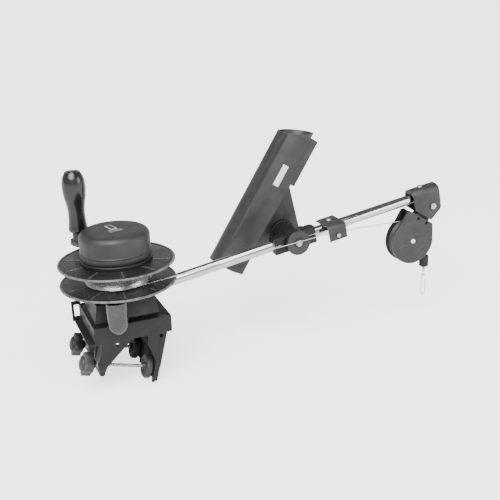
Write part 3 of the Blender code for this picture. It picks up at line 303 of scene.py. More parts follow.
def lathe(name, profile, place=None, steps=96, closed=False, corner=0.5 * mm, sharp=40):
    outline = rounded(profile, corner, closed=closed)
    shape = bmesh.new()
    rows = []
    for radius, height in outline:
        if radius < 1e-7:
            rows.append([shape.verts.new((0, 0, height))])
            continue
        angles = [2 * math.pi * i / steps for i in range(steps)]
        rows.append([shape.verts.new((radius * math.cos(a), radius * math.sin(a), height)) for a in angles])
    pairs = list(zip(rows, rows[1:]))
    if closed:
        pairs.append((rows[-1], rows[0]))
    for upper, lower in pairs:
        for i in range(steps):
            corners = []
            for row, k in ((upper, i), (upper, i + 1), (lower, i + 1), (lower, i)):
                vert = row[k % len(row)]
                if vert not in corners:
                    corners.append(vert)
            if len(corners) > 2:
                shape.faces.new(corners)
    bmesh.ops.recalc_face_normals(shape, faces=shape.faces)
    if place is not None:
        shape.transform(place)
    return asObject(name, shape, sharp)


refineSizes = {"weld": 0.004 * mm, "flat": math.radians(0.5), "edge": math.radians(32), "sharp": 40}


def refine(name, node, width, cuts=2):
    # a welded copy of a CAD node with its edges broken
    shape = bmesh.new()
    shape.from_mesh(cadNodes[node].data)
    bmesh.ops.remove_doubles(shape, verts=shape.verts, dist=refineSizes["weld"])
    bmesh.ops.dissolve_limit(shape, angle_limit=refineSizes["flat"], verts=shape.verts, edges=shape.edges)
    made = asObject(name, shape, refineSizes["sharp"])
    bevel = made.modifiers.new("brokenEdges", "BEVEL")
    bevel.width = width
    bevel.segments = cuts
    bevel.limit_method = "ANGLE"
    bevel.angle_limit = refineSizes["edge"]
    bevel.use_clamp_overlap = True
    bevel.miter_outer = "MITER_ARC"
    normals = made.modifiers.new("flatFaces", "WEIGHTED_NORMAL")
    normals.keep_sharp = True
    return shaded(plain(made), refineSizes["sharp"])


def joined(first, *others):
    shape = bmesh.new()
    for made in (first, *others):
        shape.from_mesh(made.data)
    mesh = bpy.data.meshes.new(first.name)
    shape.to_mesh(mesh)
    shape.free()
    first.data = mesh
    for made in others:
        bpy.data.objects.remove(made)
    return shaded(first)


turnX = Matrix.Rotation(math.pi / 2, 4, "Y")    # a turned piece lying along X
turnY = Matrix.Rotation(-math.pi / 2, 4, "X")   # and along Y
layout = {"clampLean": 15, "boomRise": 9.2, "boomHeight": 41.6 * mm, "pin": (627 * mm, 0, -22 * mm),
          "blockLean": 32, "blockArm": 78 * mm}
clampPlace = Matrix.Rotation(math.radians(layout["clampLean"]), 4, "Y")
boomRise = math.radians(layout["boomRise"])
boomPlace = Matrix.Translation((0, 0, layout["boomHeight"])) @ Matrix.Rotation(-boomRise, 4, "Y")
blockLean = math.radians(layout["blockLean"])
pinPoint = boomPlace @ Vector(layout["pin"])
blockPoint = pinPoint - Vector((math.sin(blockLean), 0, math.cos(blockLean))) * layout["blockArm"]
blockPlace = Matrix.Translation(blockPoint) @ Matrix.Rotation(blockLean, 4, "Y")


def at(x, y, z):
    return Matrix.Translation((x, y, z))


# node trees that make what repeats or winds

def newTree(name, inputs):
    tree = bpy.data.node_groups.new(name, "GeometryNodeTree")
    tree.interface.new_socket("Geometry", in_out="OUTPUT", socket_type="NodeSocketGeometry")
    for label, kind, value in inputs:
        socket = tree.interface.new_socket(label, in_out="INPUT", socket_type="NodeSocket" + kind)
        if kind != "Material":
            socket.default_value = value
    source = tree.nodes.new("NodeGroupInput")
    sink = tree.nodes.new("NodeGroupOutput")
    return tree, source, sink


def wire(tree, *pairs):
    for output, target in pairs:
        tree.links.new(output, target)


def closeTree(tree, source, sink, geometry):
    real = tree.nodes.new("GeometryNodeRealizeInstances")
    paint = tree.nodes.new("GeometryNodeSetMaterial")
    wire(tree, (geometry, real.inputs[0]), (real.outputs[0], paint.inputs["Geometry"]),
         (source.outputs["Finish"], paint.inputs["Material"]), (paint.outputs[0], sink.inputs[0]))
    return tree


def mathNode(tree, operation, first, second):
    node = tree.nodes.new("ShaderNodeMath")
    node.operation = operation
    for socket, value in zip(node.inputs, (first, second)):
        if isinstance(value, (int, float)):
            socket.default_value = value
        else:
            tree.links.new(value, socket)
    return node.outputs[0]


def makeCoilTree():
    # a wire wound side by side up a drum, each turn a little off and mostly inwards
    noiseScale, inwards = 55, 0.75
    tree, source, sink = newTree("woundWire", [
        ("Turns", "Float", 10.0), ("Radius", "Float", 0.05), ("Height", "Float", 0.03),
        ("Wire", "Float", 0.001),
        ("Steps", "Int", 64), ("Sides", "Int", 6), ("Unevenness", "Float", 0.0), ("Seed", "Float", 0.0),
        ("Finish", "Material", None)])
    spiral = tree.nodes.new("GeometryNodeCurveSpiral")
    profile = tree.nodes.new("GeometryNodeCurvePrimitiveCircle")
    sweep = tree.nodes.new("GeometryNodeCurveToMesh")
    sweep.inputs["Fill Caps"].default_value = True
    shift = tree.nodes.new("GeometryNodeSetPosition")
    where = tree.nodes.new("GeometryNodeInputPosition")
    flat = tree.nodes.new("ShaderNodeVectorMath")
    flat.operation = "MULTIPLY"
    flat.inputs[1].default_value = (1, 1, 0)
    outward = tree.nodes.new("ShaderNodeVectorMath")
    outward.operation = "NORMALIZE"
    noise = tree.nodes.new("ShaderNodeTexNoise")
    noise.noise_dimensions = "4D"
    noise.inputs["Scale"].default_value = noiseScale
    push = tree.nodes.new("ShaderNodeVectorMath")
    push.operation = "SCALE"
    out = source.outputs
    lean = mathNode(tree, "SUBTRACT", noise.outputs[0], inwards)
    amount = mathNode(tree, "MULTIPLY", lean, out["Unevenness"])
    wire(tree, (out["Steps"], spiral.inputs["Resolution"]), (out["Turns"], spiral.inputs["Rotations"]),
         (out["Radius"], spiral.inputs["Start Radius"]), (out["Radius"], spiral.inputs["End Radius"]),
         (out["Height"], spiral.inputs["Height"]), (out["Wire"], profile.inputs["Radius"]),
         (out["Sides"], profile.inputs["Resolution"]), (where.outputs[0], flat.inputs[0]),
         (flat.outputs[0], outward.inputs[0]), (where.outputs[0], noise.inputs["Vector"]),
         (out["Seed"], noise.inputs["W"]), (outward.outputs[0], push.inputs[0]), (amount, push.inputs["Scale"]),
         (spiral.outputs[0], shift.inputs["Geometry"]), (push.outputs[0], shift.inputs["Offset"]),
         (shift.outputs[0], sweep.inputs["Curve"]), (profile.outputs[0], sweep.inputs["Profile Curve"]))
    return closeTree(tree, source, sink, sweep.outputs[0])


def makeSpokeTree():
    # bars standing round an axis, each one pointing outwards
    tree, source, sink = newTree("barsRound", [
        ("Count", "Int", 12), ("Radius", "Float", 0.05), ("Length", "Float", 0.02), ("Width", "Float", 0.001),
        ("Thickness", "Float", 0.001), ("Start", "Float", 0.0), ("Finish", "Material", None)])
    circle = tree.nodes.new("GeometryNodeMeshCircle")
    bar = tree.nodes.new("GeometryNodeMeshCube")
    size = tree.nodes.new("ShaderNodeCombineXYZ")
    turn = tree.nodes.new("ShaderNodeCombineXYZ")
    place = tree.nodes.new("GeometryNodeInstanceOnPoints")
    whole = tree.nodes.new("GeometryNodeTransform")
    spin = tree.nodes.new("ShaderNodeCombineXYZ")
    index = tree.nodes.new("GeometryNodeInputIndex")
    out = source.outputs
    step = mathNode(tree, "DIVIDE", 2 * math.pi, out["Count"])
    wire(tree, (out["Count"], circle.inputs["Vertices"]), (out["Radius"], circle.inputs["Radius"]),
         (out["Length"], size.inputs[0]), (out["Width"], size.inputs[1]), (out["Thickness"], size.inputs[2]),
         (size.outputs[0], bar.inputs["Size"]),
         (mathNode(tree, "MULTIPLY", index.outputs[0], step), turn.inputs[2]),
         (circle.outputs[0], place.inputs["Points"]), (bar.outputs[0], place.inputs["Instance"]),
         (turn.outputs[0], place.inputs["Rotation"]), (place.outputs[0], whole.inputs["Geometry"]),
         (out["Start"], spin.inputs[2]), (spin.outputs[0], whole.inputs["Rotation"]))
    return closeTree(tree, source, sink, whole.outputs[0])


def makeRingTree():
    # round ribs stacked along an axis
    tree, source, sink = newTree("stackedRibs", [
        ("Count", "Int", 5), ("Pitch", "Float", 0.005), ("Radius", "Float", 0.009), ("Rib", "Float", 0.001),
        ("Steps", "Int", 40), ("Finish", "Material", None)])
    line = tree.nodes.new("GeometryNodeMeshLine")
    offset = tree.nodes.new("ShaderNodeCombineXYZ")
    path = tree.nodes.new("GeometryNodeCurvePrimitiveCircle")
    profile = tree.nodes.new("GeometryNodeCurvePrimitiveCircle")
    profile.inputs["Resolution"].default_value = 10
    sweep = tree.nodes.new("GeometryNodeCurveToMesh")
    place = tree.nodes.new("GeometryNodeInstanceOnPoints")
    out = source.outputs
    wire(tree, (out["Count"], line.inputs["Count"]), (out["Pitch"], offset.inputs[2]),
         (offset.outputs[0], line.inputs["Offset"]), (out["Radius"], path.inputs["Radius"]),
         (out["Steps"], path.inputs["Resolution"]), (out["Rib"], profile.inputs["Radius"]),
         (path.outputs[0], sweep.inputs["Curve"]), (profile.outputs[0], sweep.inputs["Profile Curve"]),
         (line.outputs[0], place.inputs["Points"]), (sweep.outputs[0], place.inputs["Instance"]))
    return closeTree(tree, source, sink, place.outputs[0])


def makeLayTree():
    # strands laid round a line: the line's mesh is swept with a lobed, twisting outline
    grooveDepth = 0.8  # the outline's inner radius, as a share of its outer one
    tree, source, sink = newTree("laidCable", [
        ("Thickness", "Float", 0.0009), ("Strands", "Int", 6), ("Lay", "Float", 0.012),
        ("Spacing", "Float", 0.0015), ("Finish", "Material", None)])
    tree.interface.new_socket("Line", in_out="INPUT", socket_type="NodeSocketGeometry")
    tree.interface.move(tree.interface.items_tree["Line"], 0)
    toCurve = tree.nodes.new("GeometryNodeMeshToCurve")
    even = tree.nodes.new("GeometryNodeResampleCurve")
    even.mode = "LENGTH"
    along = tree.nodes.new("GeometryNodeSplineParameter")
    tilt = tree.nodes.new("GeometryNodeSetCurveTilt")
    lobes = tree.nodes.new("GeometryNodeCurveStar")
    sweep = tree.nodes.new("GeometryNodeCurveToMesh")
    sweep.inputs["Fill Caps"].default_value = True
    out = source.outputs
    turns = mathNode(tree, "DIVIDE", along.outputs["Length"], out["Lay"])
    wire(tree, (out["Line"], toCurve.inputs[0]), (toCurve.outputs[0], even.inputs["Curve"]),
         (out["Spacing"], even.inputs["Length"]), (even.outputs[0], tilt.inputs["Curve"]),
         (mathNode(tree, "MULTIPLY", turns, 2 * math.pi), tilt.inputs["Tilt"]),
         (out["Strands"], lobes.inputs["Points"]), (out["Thickness"], lobes.inputs["Outer Radius"]),
         (mathNode(tree, "MULTIPLY", out["Thickness"], grooveDepth), lobes.inputs["Inner Radius"]),
         (tilt.outputs[0], sweep.inputs["Curve"]), (lobes.outputs[0], sweep.inputs["Profile Curve"]))
    return closeTree(tree, source, sink, sweep.outputs[0])


coilTree = makeCoilTree()
spokeTree = makeSpokeTree()
ringTree = makeRingTree()
layTree = makeLayTree()


def grown(name, tree, finish, values, place=None, line=None):
    # runs a tree with these values and keeps its result as a plain mesh
    mesh = bpy.data.meshes.new(name)
    if line:
        mesh.from_pydata(line, [(i, i + 1) for i in range(len(line) - 1)], [])
    made = linked(name, mesh)
    modifier = made.modifiers.new(tree.name, "NODES")
    modifier.node_group = tree
    for socket in tree.interface.items_tree:
        if socket.item_type != "SOCKET" or socket.in_out != "INPUT":
            continue
        if socket.name == "Finish":
            modifier[socket.identifier] = finishes[finish]
        elif socket.name in values:
            modifier[socket.identifier] = values[socket.name]
    plain(made)
    shape = bmesh.new()
    shape.from_mesh(made.data)
    bmesh.ops.remove_doubles(shape, verts=shape.verts, dist=0.001 * mm)
    bmesh.ops.recalc_face_normals(shape, faces=shape.faces)
    if place is not None:
        shape.transform(place)
    shape.to_mesh(made.data)
    shape.free()
    return shaded(made, 50)


print("node trees built")


# spool

spoolSizes = {
    "flangeRadius": 99.5 * mm, "flangeThickness": 3 * mm, "rim": 2 * mm, "spokes": 10,
    "lowerZ": 73.2 * mm, "upperZ": 109.6 * mm, "bore": 8.06 * mm,
    "woundRadius": 56.1 * mm, "wireRadius": 0.9 * mm, "turns": 17.6, "unevenness": 0.5 * mm,
    "coreOutside": 55.3 * mm, "coreInside": 46.3 * mm, "spokeWidth": 1.3 * mm, "spokeHeight": 1.0 * mm,
    "lowerSpokesFrom": 59 * mm, "upperSpokesFrom": 62.5 * mm, "pebbled": 9 * mm,
    "collarRadius": 61 * mm, "collarBottom": 112.9 * mm, "collarTop": 120.4 * mm,
}


def makeFlange(name, z, insideRadius, sizes):
    radius, thick, rim = sizes["flangeRadius"], sizes["flangeThickness"], sizes["rim"]
    top = z + thick
    middle = (radius - rim, z + thick / 2)
    profile = [(sizes["bore"], top), (radius - sizes["pebbled"], top), (radius - 6 * mm, top - 0.8 * mm),
               (radius - 2.1 * rim, top - 0.8 * mm)]
    for k in range(13):
        angle = math.radians(125 - 250 * k / 12)
        profile.append((middle[0] + rim * math.cos(angle), middle[1] + rim * math.sin(angle)))
    profile.append((sizes["bore"], z))
    disc = lathe(name, profile, steps=144, closed=True, corner=0.3 * mm)
    length = radius - sizes["pebbled"] - insideRadius
    bars = grown(name + "Spokes", spokeTree, "pebbleBlack", {
        "Count": sizes["spokes"], "Radius": insideRadius + length / 2, "Length": length,
        "Width": sizes["spokeWidth"], "Thickness": sizes["spokeHeight"], "Start": 0.2}, at(0, 0, top))
    return joined(disc, bars)


lower = makeFlange("flangeLower", spoolSizes["lowerZ"], spoolSizes["lowerSpokesFrom"], spoolSizes)
upper = makeFlange("flangeUpper", spoolSizes["upperZ"], spoolSizes["upperSpokesFrom"], spoolSizes)
settle(lower, "pebbleBlack", "spool", "gloss_black", "spool_lower_flange")
settle(upper, "pebbleBlack", "spool", "gloss_black", "spool_upper_flange")


def makeRimHighlights(sizes):
    # a lighter band round the edge of both flanges, just proud of them: a painted highlight along the worn rims
    return grown("flangeRimHighlights", ringTree, "lightGreyAndRimHighlight", {
        "Count": 2, "Pitch": sizes["upperZ"] - sizes["lowerZ"], "Radius": sizes["flangeRadius"] - sizes["rim"],
        "Rib": sizes["rim"] + 0.08 * mm, "Steps": 144},
        at(0, 0, sizes["lowerZ"] + sizes["flangeThickness"] / 2))


def makeWinding(sizes):
    low = sizes["lowerZ"] + sizes["flangeThickness"] + 0.3 * mm
    high = sizes["upperZ"] - 0.3 * mm
    outside, inside = sizes["coreOutside"], sizes["coreInside"]
    core = lathe("cableWinding", [(inside, high), (outside, high), (outside, low), (inside, low)], closed=True)
    wraps = grown("cableWraps", coilTree, "brightSteel", {
        "Turns": sizes["turns"], "Radius": sizes["woundRadius"], "Height": high - low - 2 * mm,
        "Wire": sizes["wireRadius"], "Steps": 72, "Sides": 8, "Unevenness": sizes["unevenness"],
        "Seed": 3.0}, at(0, 0, low + 1 * mm))
    crossing = grown("cableCrossing", coilTree, "brightSteel", {
        "Turns": 1.4, "Radius": sizes["woundRadius"] + 0.3 * mm, "Height": high - low - 4 * mm,
        "Wire": 0.8 * mm, "Steps": 90, "Sides": 8, "Unevenness": 0.6 * mm, "Seed": 9.0},
        at(0, 0, low + 2 * mm))
    return joined(core, wraps, crossing)


def makeCollar(sizes):
    bore, radius = sizes["bore"], sizes["collarRadius"]
    low, top = sizes["collarBottom"], sizes["collarTop"]
    profile = [(bore, top), (radius - 3 * mm, top), (radius, top - 2.5 * mm), (radius, low), (bore, low)]
    return lathe("brakeCollar", profile, steps=128, closed=True)


settle(makeRimHighlights(spoolSizes), "lightGreyAndRimHighlight", "spool", "gloss_black")
settle(makeWinding(spoolSizes), "woundSteel", "spool", "bright_steel", "cable_winding")
settle(makeCollar(spoolSizes), "mouldedBlack", "spool", "moulded_black", "brake_disc")
print("spool made")


# brake cap, crank and grip

capSizes = {
    "radius": 59.5 * mm, "bottom": 131.2 * mm, "height": 35 * mm, "fillet": 11 * mm, "wall": 3.5 * mm,
    "lip": 1.2 * mm, "hub": 18 * mm, "bore": 8.06 * mm, "boreDepth": 20 * mm,
}
badgeSizes = {
    "turn": math.radians(14), "clear": 0.05 * mm, "bevel": 0.15 * mm,
    "plate": {"middle": (1 * mm, -9 * mm), "size": (24 * mm, 12 * mm), "thickness": 0.8 * mm, "corner": 1 * mm},
    "border": {"middle": (-2 * mm, 13 * mm), "size": (11 * mm, 26 * mm), "thickness": 0.5 * mm,
               "corner": 1 * mm},
    "field": {"middle": (-2 * mm, 13 * mm), "size": (8.4 * mm, 23.4 * mm), "thickness": 0.65 * mm,
              "corner": 0.6 * mm},
}


def makeCap(sizes):
    radius, low, fillet, wall = sizes["radius"], sizes["bottom"], sizes["fillet"], sizes["wall"]
    top = low + sizes["height"]
    outline = [(0, top), (0.6 * radius, top)]
    for k in range(13):
        angle = math.pi / 2 * (1 - k / 12)
        outline.append((radius - fillet + fillet * math.cos(angle), top - fillet + fillet * math.sin(angle)))
    lip, hub, bore, depth = sizes["lip"], sizes["hub"], sizes["bore"], sizes["boreDepth"]
    outline += [(radius, low + 2 * lip), (radius + lip, low + 1.25 * lip), (radius + lip, low)]
    outline += [(radius - wall, low), (radius - wall, top - fillet), (radius - fillet, top - wall - 1 * mm)]
    outline += [(hub, top - wall), (hub, low), (bore, low), (bore, low + depth), (0, low + depth)]
    return lathe("brakeCap", outline, steps=144, corner=0.4 * mm)


def makeBadge(name, sizes, z):
    # a thin plate with rounded corners, lying flat
    size, cornerRadius = sizes["size"], sizes["corner"]
    outline = []
    for cx, cy, start in ((1, 1, 0), (-1, 1, 90), (-1, -1, 180), (1, -1, 270)):
        middle = (cx * (size[0] / 2 - cornerRadius), cy * (size[1] / 2 - cornerRadius))
        for k in range(6):
            angle = math.radians(start + 18 * k)
            across, along = cornerRadius * math.cos(angle), cornerRadius * math.sin(angle)
            outline.append((middle[0] + across, middle[1] + along))
    shape = bmesh.new()
    base = shape.faces.new([shape.verts.new((x, y, 0)) for x, y in outline])
    lifted = bmesh.ops.extrude_face_region(shape, geom=[base])
    verts = [v for v in lifted["geom"] if isinstance(v, bmesh.types.BMVert)]
    bmesh.ops.translate(shape, vec=(0, 0, sizes["thickness"]), verts=verts)
    bmesh.ops.recalc_face_normals(shape, faces=shape.faces)
    shape.transform(at(*sizes["middle"], z) @ Matrix.Rotation(badgeSizes["turn"], 4, "Z"))
    made = asObject(name, shape)
    bevel = made.modifiers.new("brokenEdges", "BEVEL")
    bevel.width = badgeSizes["bevel"]
    bevel.segments = 2
    bevel.angle_limit = math.radians(40)
    return shaded(plain(made), 34)


settle(makeCap(capSizes), "mouldedGrey", "crank", "moulded_black", "brake_cap")
capTop = capSizes["bottom"] + capSizes["height"] + badgeSizes["clear"]
settle(makeBadge("capBadge", badgeSizes["plate"], capTop), "lightGreyAndRimHighlight", "crank", "grey_plastic", "cap_plate")
settle(makeBadge("capBadgeFrame", badgeSizes["border"], capTop), "whitePlate", "crank", "white_plate")
settle(makeBadge("capBadgeField", badgeSizes["field"], capTop), "mouldedBlack", "crank", "moulded_black")
print("cap made")

gripSizes = {
    "x": -43.727 * mm, "y": 87.704 * mm, "bottom": 145.4 * mm, "length": 107 * mm, "fullness": 1.13,
    "radii": [11.7, 15.4, 17.5, 18.0, 17.7, 16.7, 14.8, 13.4, 12.9, 13.2, 14.0, 15.2],
    "bore": 4.06 * mm, "foot": 15.4 * mm, "rings": 40,
}


def smoothRadii(radii, count):
    # a smooth run of radii through the given ones
    made = []
    for k in range(count):
        spot = k / (count - 1) * (len(radii) - 1)
        i = min(int(spot), len(radii) - 2)
        t = spot - i
        a, b, c, d = (radii[max(0, min(len(radii) - 1, j))] for j in (i - 1, i, i + 1, i + 2))
        made.append(0.5 * (2 * b + (c - a) * t + (2 * a - 5 * b + 4 * c - d) * t * t
                           + (3 * b - a - 3 * c + d) * t ** 3))
    return made


def makeGrip(sizes):
    low, length = sizes["bottom"], sizes["length"]
    top = low + length
    radii = smoothRadii(sizes["radii"], sizes["rings"])
    profile = [(sizes["bore"], top - 1.5 * mm), (9 * mm, top - 1.5 * mm), (9.6 * mm, top - 0.4 * mm)]
    for k, radius in enumerate(radii):
        drop = (k / (sizes["rings"] - 1)) ** 1.05 * 0.97
        profile.append((radius * sizes["fullness"] * mm, top - length * drop))
    profile += [(sizes["foot"], low), (sizes["bore"], low)]
    place = at(sizes["x"], sizes["y"], 0)
    return lathe("crankGrip", profile, place, 80, closed=True, corner=0.6 * mm, sharp=60)


settle(makeGrip(gripSizes), "glossBlack", "grip", "gloss_black", "crank_grip")
print("grip made")


# the clamp's screws and pads

clampSizes = {
    "screwY": 42 * mm, "drop": 66 * mm, "tip": 43.6 * mm, "length": 110 * mm, "screwRadius": 3 * mm,
    "pitch": 1.0 * mm, "padRadius": 21 * mm, "padThickness": 12 * mm, "face": 50.9 * mm,
    "threadDepth": 0.55 * mm, "threadWire": 0.5 * mm, "threadMargin": 2 * mm, "bossRadius": 7.5 * mm,
    "bossOut": 4 * mm, "bore": 3.06 * mm, "boreDepth": 5 * mm,
}


def makeScrew(side, y, sizes):
    place = clampPlace @ at(0, y, -sizes["drop"]) @ turnX
    start = sizes["tip"] - sizes["length"]
    inner = sizes["screwRadius"] - sizes["threadDepth"]
    threaded = sizes["length"] - 2 * sizes["threadMargin"]
    shaft = [(0, sizes["tip"]), (inner - 0.5 * mm, sizes["tip"]), (inner, sizes["tip"] - 0.6 * mm),
             (inner, start + 0.3 * mm), (0, start)]
    bar = lathe("clampScrew_" + side, shaft, place, 32)
    thread = grown("thread_" + side, coilTree, "brightSteel", {
        "Turns": threaded / sizes["pitch"], "Radius": inner, "Height": threaded,
        "Wire": sizes["threadWire"], "Steps": 20, "Sides": 4}, place @ at(0, 0, start + sizes["threadMargin"]))
    return joined(bar, thread)


def makePad(side, y, sizes):
    face = sizes["face"]
    back = face - sizes["padThickness"]
    radius = sizes["padRadius"]
    boss, end = sizes["bossRadius"], back - sizes["bossOut"]
    bore, depth = sizes["bore"], back + sizes["boreDepth"]
    dish = back + 1.2 * mm
    profile = [(0, face), (radius - 3 * mm, face), (radius, face - 2.5 * mm), (radius, back + 2.5 * mm),
               (radius - 2.5 * mm, back), (12.5 * mm, back), (12 * mm, dish), (boss, dish),
               (boss - 0.5 * mm, back), (boss - 1.5 * mm, end), (bore, end), (bore, depth), (0, depth)]
    place = clampPlace @ at(0, y, -sizes["drop"]) @ turnX
    return lathe("clampPad_" + side, profile, place, 72, corner=0.9 * mm)


for side, sign in (("front", -1), ("rear", 1)):
    y = sign * clampSizes["screwY"]
    finish = "mouldedGrey" if side == "front" else "softRubber"
    screwNode, padNode = "clamp_screw_" + side, "clamp_pad_" + side
    settle(makeScrew(side, y, clampSizes), "brightSteel", "screw_" + side, "bright_steel", screwNode)
    settle(makePad(side, y, clampSizes), finish, "pad_" + side, slotOf[padNode], padNode)
print("clamp screws made")


# boom

boomSizes = {"radius": 9.525 * mm, "wall": 1.6 * mm, "start": -44 * mm, "end": 638 * mm}


def makeBoom(sizes):
    inner = sizes["radius"] - sizes["wall"]
    profile = [(sizes["radius"], sizes["end"]), (sizes["radius"], sizes["start"]),
               (inner, sizes["start"]), (inner, sizes["end"])]
    return lathe("boomTube", profile, boomPlace @ turnX, 96, closed=True, corner=0.4 * mm)


settle(makeBoom(boomSizes), "tubeChrome", "frame", "chrome_tube", "boom_tube")
print("boom made")


# pulley, its axle and the stopper

blockSizes = {
    "wheel": 43.3 * mm, "half": 6 * mm, "groove": 38.7 * mm, "axle": 4.5 * mm, "outside": 14.3 * mm,
    "beadRadius": 9.5 * mm, "beadHeight": 25 * mm, "beadTop": 16 * mm, "beadX": 617 * mm, "ribs": 6,
    "beadBore": 1.2 * mm, "beadCore": 8.1 * mm, "ribThickness": 1.4 * mm, "wheelBore": 4.56 * mm,
}


def makeWheel(sizes):
    half, radius, groove = sizes["half"], sizes["wheel"], sizes["groove"]
    profile = [(radius, half), (radius, half - 1.5 * mm), (groove + 1 * mm, 1.9 * mm), (groove, 0.9 * mm),
               (groove, -0.9 * mm), (groove + 1 * mm, -1.9 * mm), (radius, 1.5 * mm - half), (radius, -half),
               (sizes["wheelBore"], -half), (sizes["wheelBore"], half)]
    return lathe("pulleyWheel", profile, blockPlace @ turnY, 128, closed=True, corner=0.4 * mm)


def makeAxle(sizes):
    head = sizes["outside"]
    profile = [(0, head + 2 * mm), (6 * mm, head + 2 * mm), (7 * mm, head + 1 * mm), (7 * mm, head),
               (sizes["axle"], head), (sizes["axle"], -head - 1.2 * mm), (2.2 * mm, -head - 2 * mm),
               (1.8 * mm, -head - 1.3 * mm), (0, -head - 1.3 * mm)]
    return lathe("pulleyAxle", profile, blockPlace @ turnY, 64, corner=0.5 * mm)


def makeBead(sizes):
    top, height, radius = sizes["beadTop"], sizes["beadHeight"], sizes["beadRadius"]
    place = at(sizes["beadX"], 0, 0)
    bore, core = sizes["beadBore"], sizes["beadCore"]
    body = [(bore, top), (5.6 * mm, top), (core, top - 2 * mm), (core, top - height + 2 * mm),
            (6.2 * mm, top - height), (bore, top - height)]
    bead = lathe("stopperBead", body, place, 64, closed=True, corner=1.2 * mm)
    pitch = (height - 6.5 * mm) / (sizes["ribs"] - 1)
    ribs = grown("stopperRibs", ringTree, "softRubber", {
        "Count": sizes["ribs"], "Pitch": pitch, "Radius": radius - 1.5 * mm, "Rib": sizes["ribThickness"],
        "Steps": 48},
        place @ at(0, 0, top - height + 3.2 * mm))
    return joined(bead, ribs)


def roundWire(name, points, radius, place):
    curve = bpy.data.curves.new(name, "CURVE")
    curve.dimensions = "3D"
    curve.bevel_depth = radius
    curve.bevel_resolution = 4
    curve.resolution_u = 6
    curve.use_fill_caps = True
    spline = curve.splines.new("NURBS")
    spline.points.add(len(points) - 1)
    for spot, point in zip(spline.points, points):
        spot.co = (*point, 1)
    spline.use_endpoint_u = True
    spline.order_u = 3
    made = linked(name, curve)
    bpy.context.view_layer.update()
    mesh = bpy.data.meshes.new_from_object(made.evaluated_get(bpy.context.evaluated_depsgraph_get()))
    bpy.data.objects.remove(made)
    shape = bmesh.new()
    shape.from_mesh(mesh)
    bmesh.ops.remove_doubles(shape, verts=shape.verts, dist=0.002 * mm)
    bmesh.ops.recalc_face_normals(shape, faces=shape.faces)
    shape.transform(place)
    return asObject(name, shape, 50)


settle(makeWheel(blockSizes), "mouldedGrey", "wheel", "grey_plastic", "pulley_wheel")
settle(makeAxle(blockSizes), "whitePlate", "block", "white_plate", "pulley_axle")
settle(makeBead(blockSizes), "softRubber", "block", "rubber", "stopper_bead")

# raised lines on the near cheek
embossSizes = {
    "line": 0.8 * mm, "lift": -14.1 * mm, "hub": 15 * mm, "rim": 43.2 * mm,
    "tail": [(-14.2, -13), (-21, -27)],
    "left": [(-39, 6), (-36, 16), (-24, 30), (-14, 33), (-7, 21)],
    "right": [(24, 5), (21, 17), (36, 22), (38, 4), (28, -28)],
}


def circleArc(radius, start, end, count):
    angles = [math.radians(start + (end - start) * k / count) for k in range(count + 1)]
    return [(radius * math.cos(a), radius * math.sin(a)) for a in angles]


def makeEmboss(sizes):
    tail, left, right = ([(x * mm, z * mm) for x, z in sizes[key]] for key in ("tail", "left", "right"))
    runs = [circleArc(sizes["hub"], -60, 250, 30) + tail, left, right, circleArc(sizes["rim"], 160, 382, 60)]
    made = [roundWire(f"emboss{i}", [(x, sizes["lift"], z) for x, z in run], sizes["line"], blockPlace)
            for i, run in enumerate(runs)]
    return joined(*made)


cheek = refine("pulleyCheekFront", "pulley_cheek_front", 0.8 * mm, 3)
settle(joined(cheek, makeEmboss(embossSizes)), "mouldedGrey", "block", "moulded_black", "pulley_cheek_front")
print("pulley block made")


# cable from the spool over the pulley

cableSizes = {
    "start": (2 * mm, -58.3 * mm, 79.2 * mm), "guide": (412 * mm, -24.4 * mm, -3.4 * mm),
    "axle": (581.118 * mm, 0, 53.981 * mm), "groove": 40 * mm, "fall": -6.6, "drop": (617 * mm, 0, -9.6 * mm),
    "thickness": 0.9 * mm, "strands": 7, "lay": 9 * mm, "spacing": 1.2 * mm, "arcSteps": 24,
    "leaves": -37 * mm,
}


def makeCable(sizes):
    guide = boomPlace @ Vector(sizes["guide"])
    axle = Vector(sizes["axle"])
    line = [Vector(sizes["start"]), guide]
    for k in range(sizes["arcSteps"] + 1):
        turn = math.radians(90 + (sizes["fall"] - 90) * k / sizes["arcSteps"])
        line.append(axle + Vector((math.cos(turn), 0, math.sin(turn))) * sizes["groove"])
    drop = Vector(sizes["drop"])
    line += [Vector((drop.x, 0, axle.z + sizes["leaves"])), drop]
    made = grown("cableRun", layTree, "woundSteel", {
        "Thickness": sizes["thickness"], "Strands": sizes["strands"], "Lay": sizes["lay"],
        "Spacing": sizes["spacing"]}, line=[tuple(point) for point in line])
    return made, guide, axle + Vector((0, 0, sizes["groove"]))


cable, cableGuide, cableTop = makeCable(cableSizes)
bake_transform(cable)  # baked in place and put in no body
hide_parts("cable_run")
print("cable made")


# cup on the skirt

cupSizes = {"x": -24 * mm, "backY": -65.3 * mm, "radius": 17 * mm, "flatten": 0.8, "wall": 2.4 * mm,
            "low": 11 * mm, "height": 57 * mm}


def makeCup(sizes):
    radius, inside = sizes["radius"], sizes["radius"] - sizes["wall"]
    dome = sizes["low"] + radius
    top = sizes["low"] + sizes["height"]
    steps = 14
    quarter = [math.pi / 2 * k / steps for k in range(steps + 1)]
    profile = [(0, dome - inside)]
    profile += [(inside * math.sin(angle), dome - inside * math.cos(angle)) for angle in quarter[1:]]
    profile += [(inside, top), (radius, top)]
    profile += [(radius * math.cos(angle), dome - radius * math.sin(angle)) for angle in quarter[:-1]]
    profile.append((0, sizes["low"]))
    squeeze = Matrix.Diagonal((1, sizes["flatten"], 1, 1))
    place = at(sizes["x"], sizes["backY"] - radius * sizes["flatten"], 0) @ squeeze
    return lathe("skirtCup", profile, place, 80, corner=0.5 * mm)


settle(makeCup(cupSizes), "smokedPlastic", "frame", "smoked_plastic", "front_pocket")
print("cup made")


# everything else keeps its CAD shape, welded and with its edges broken

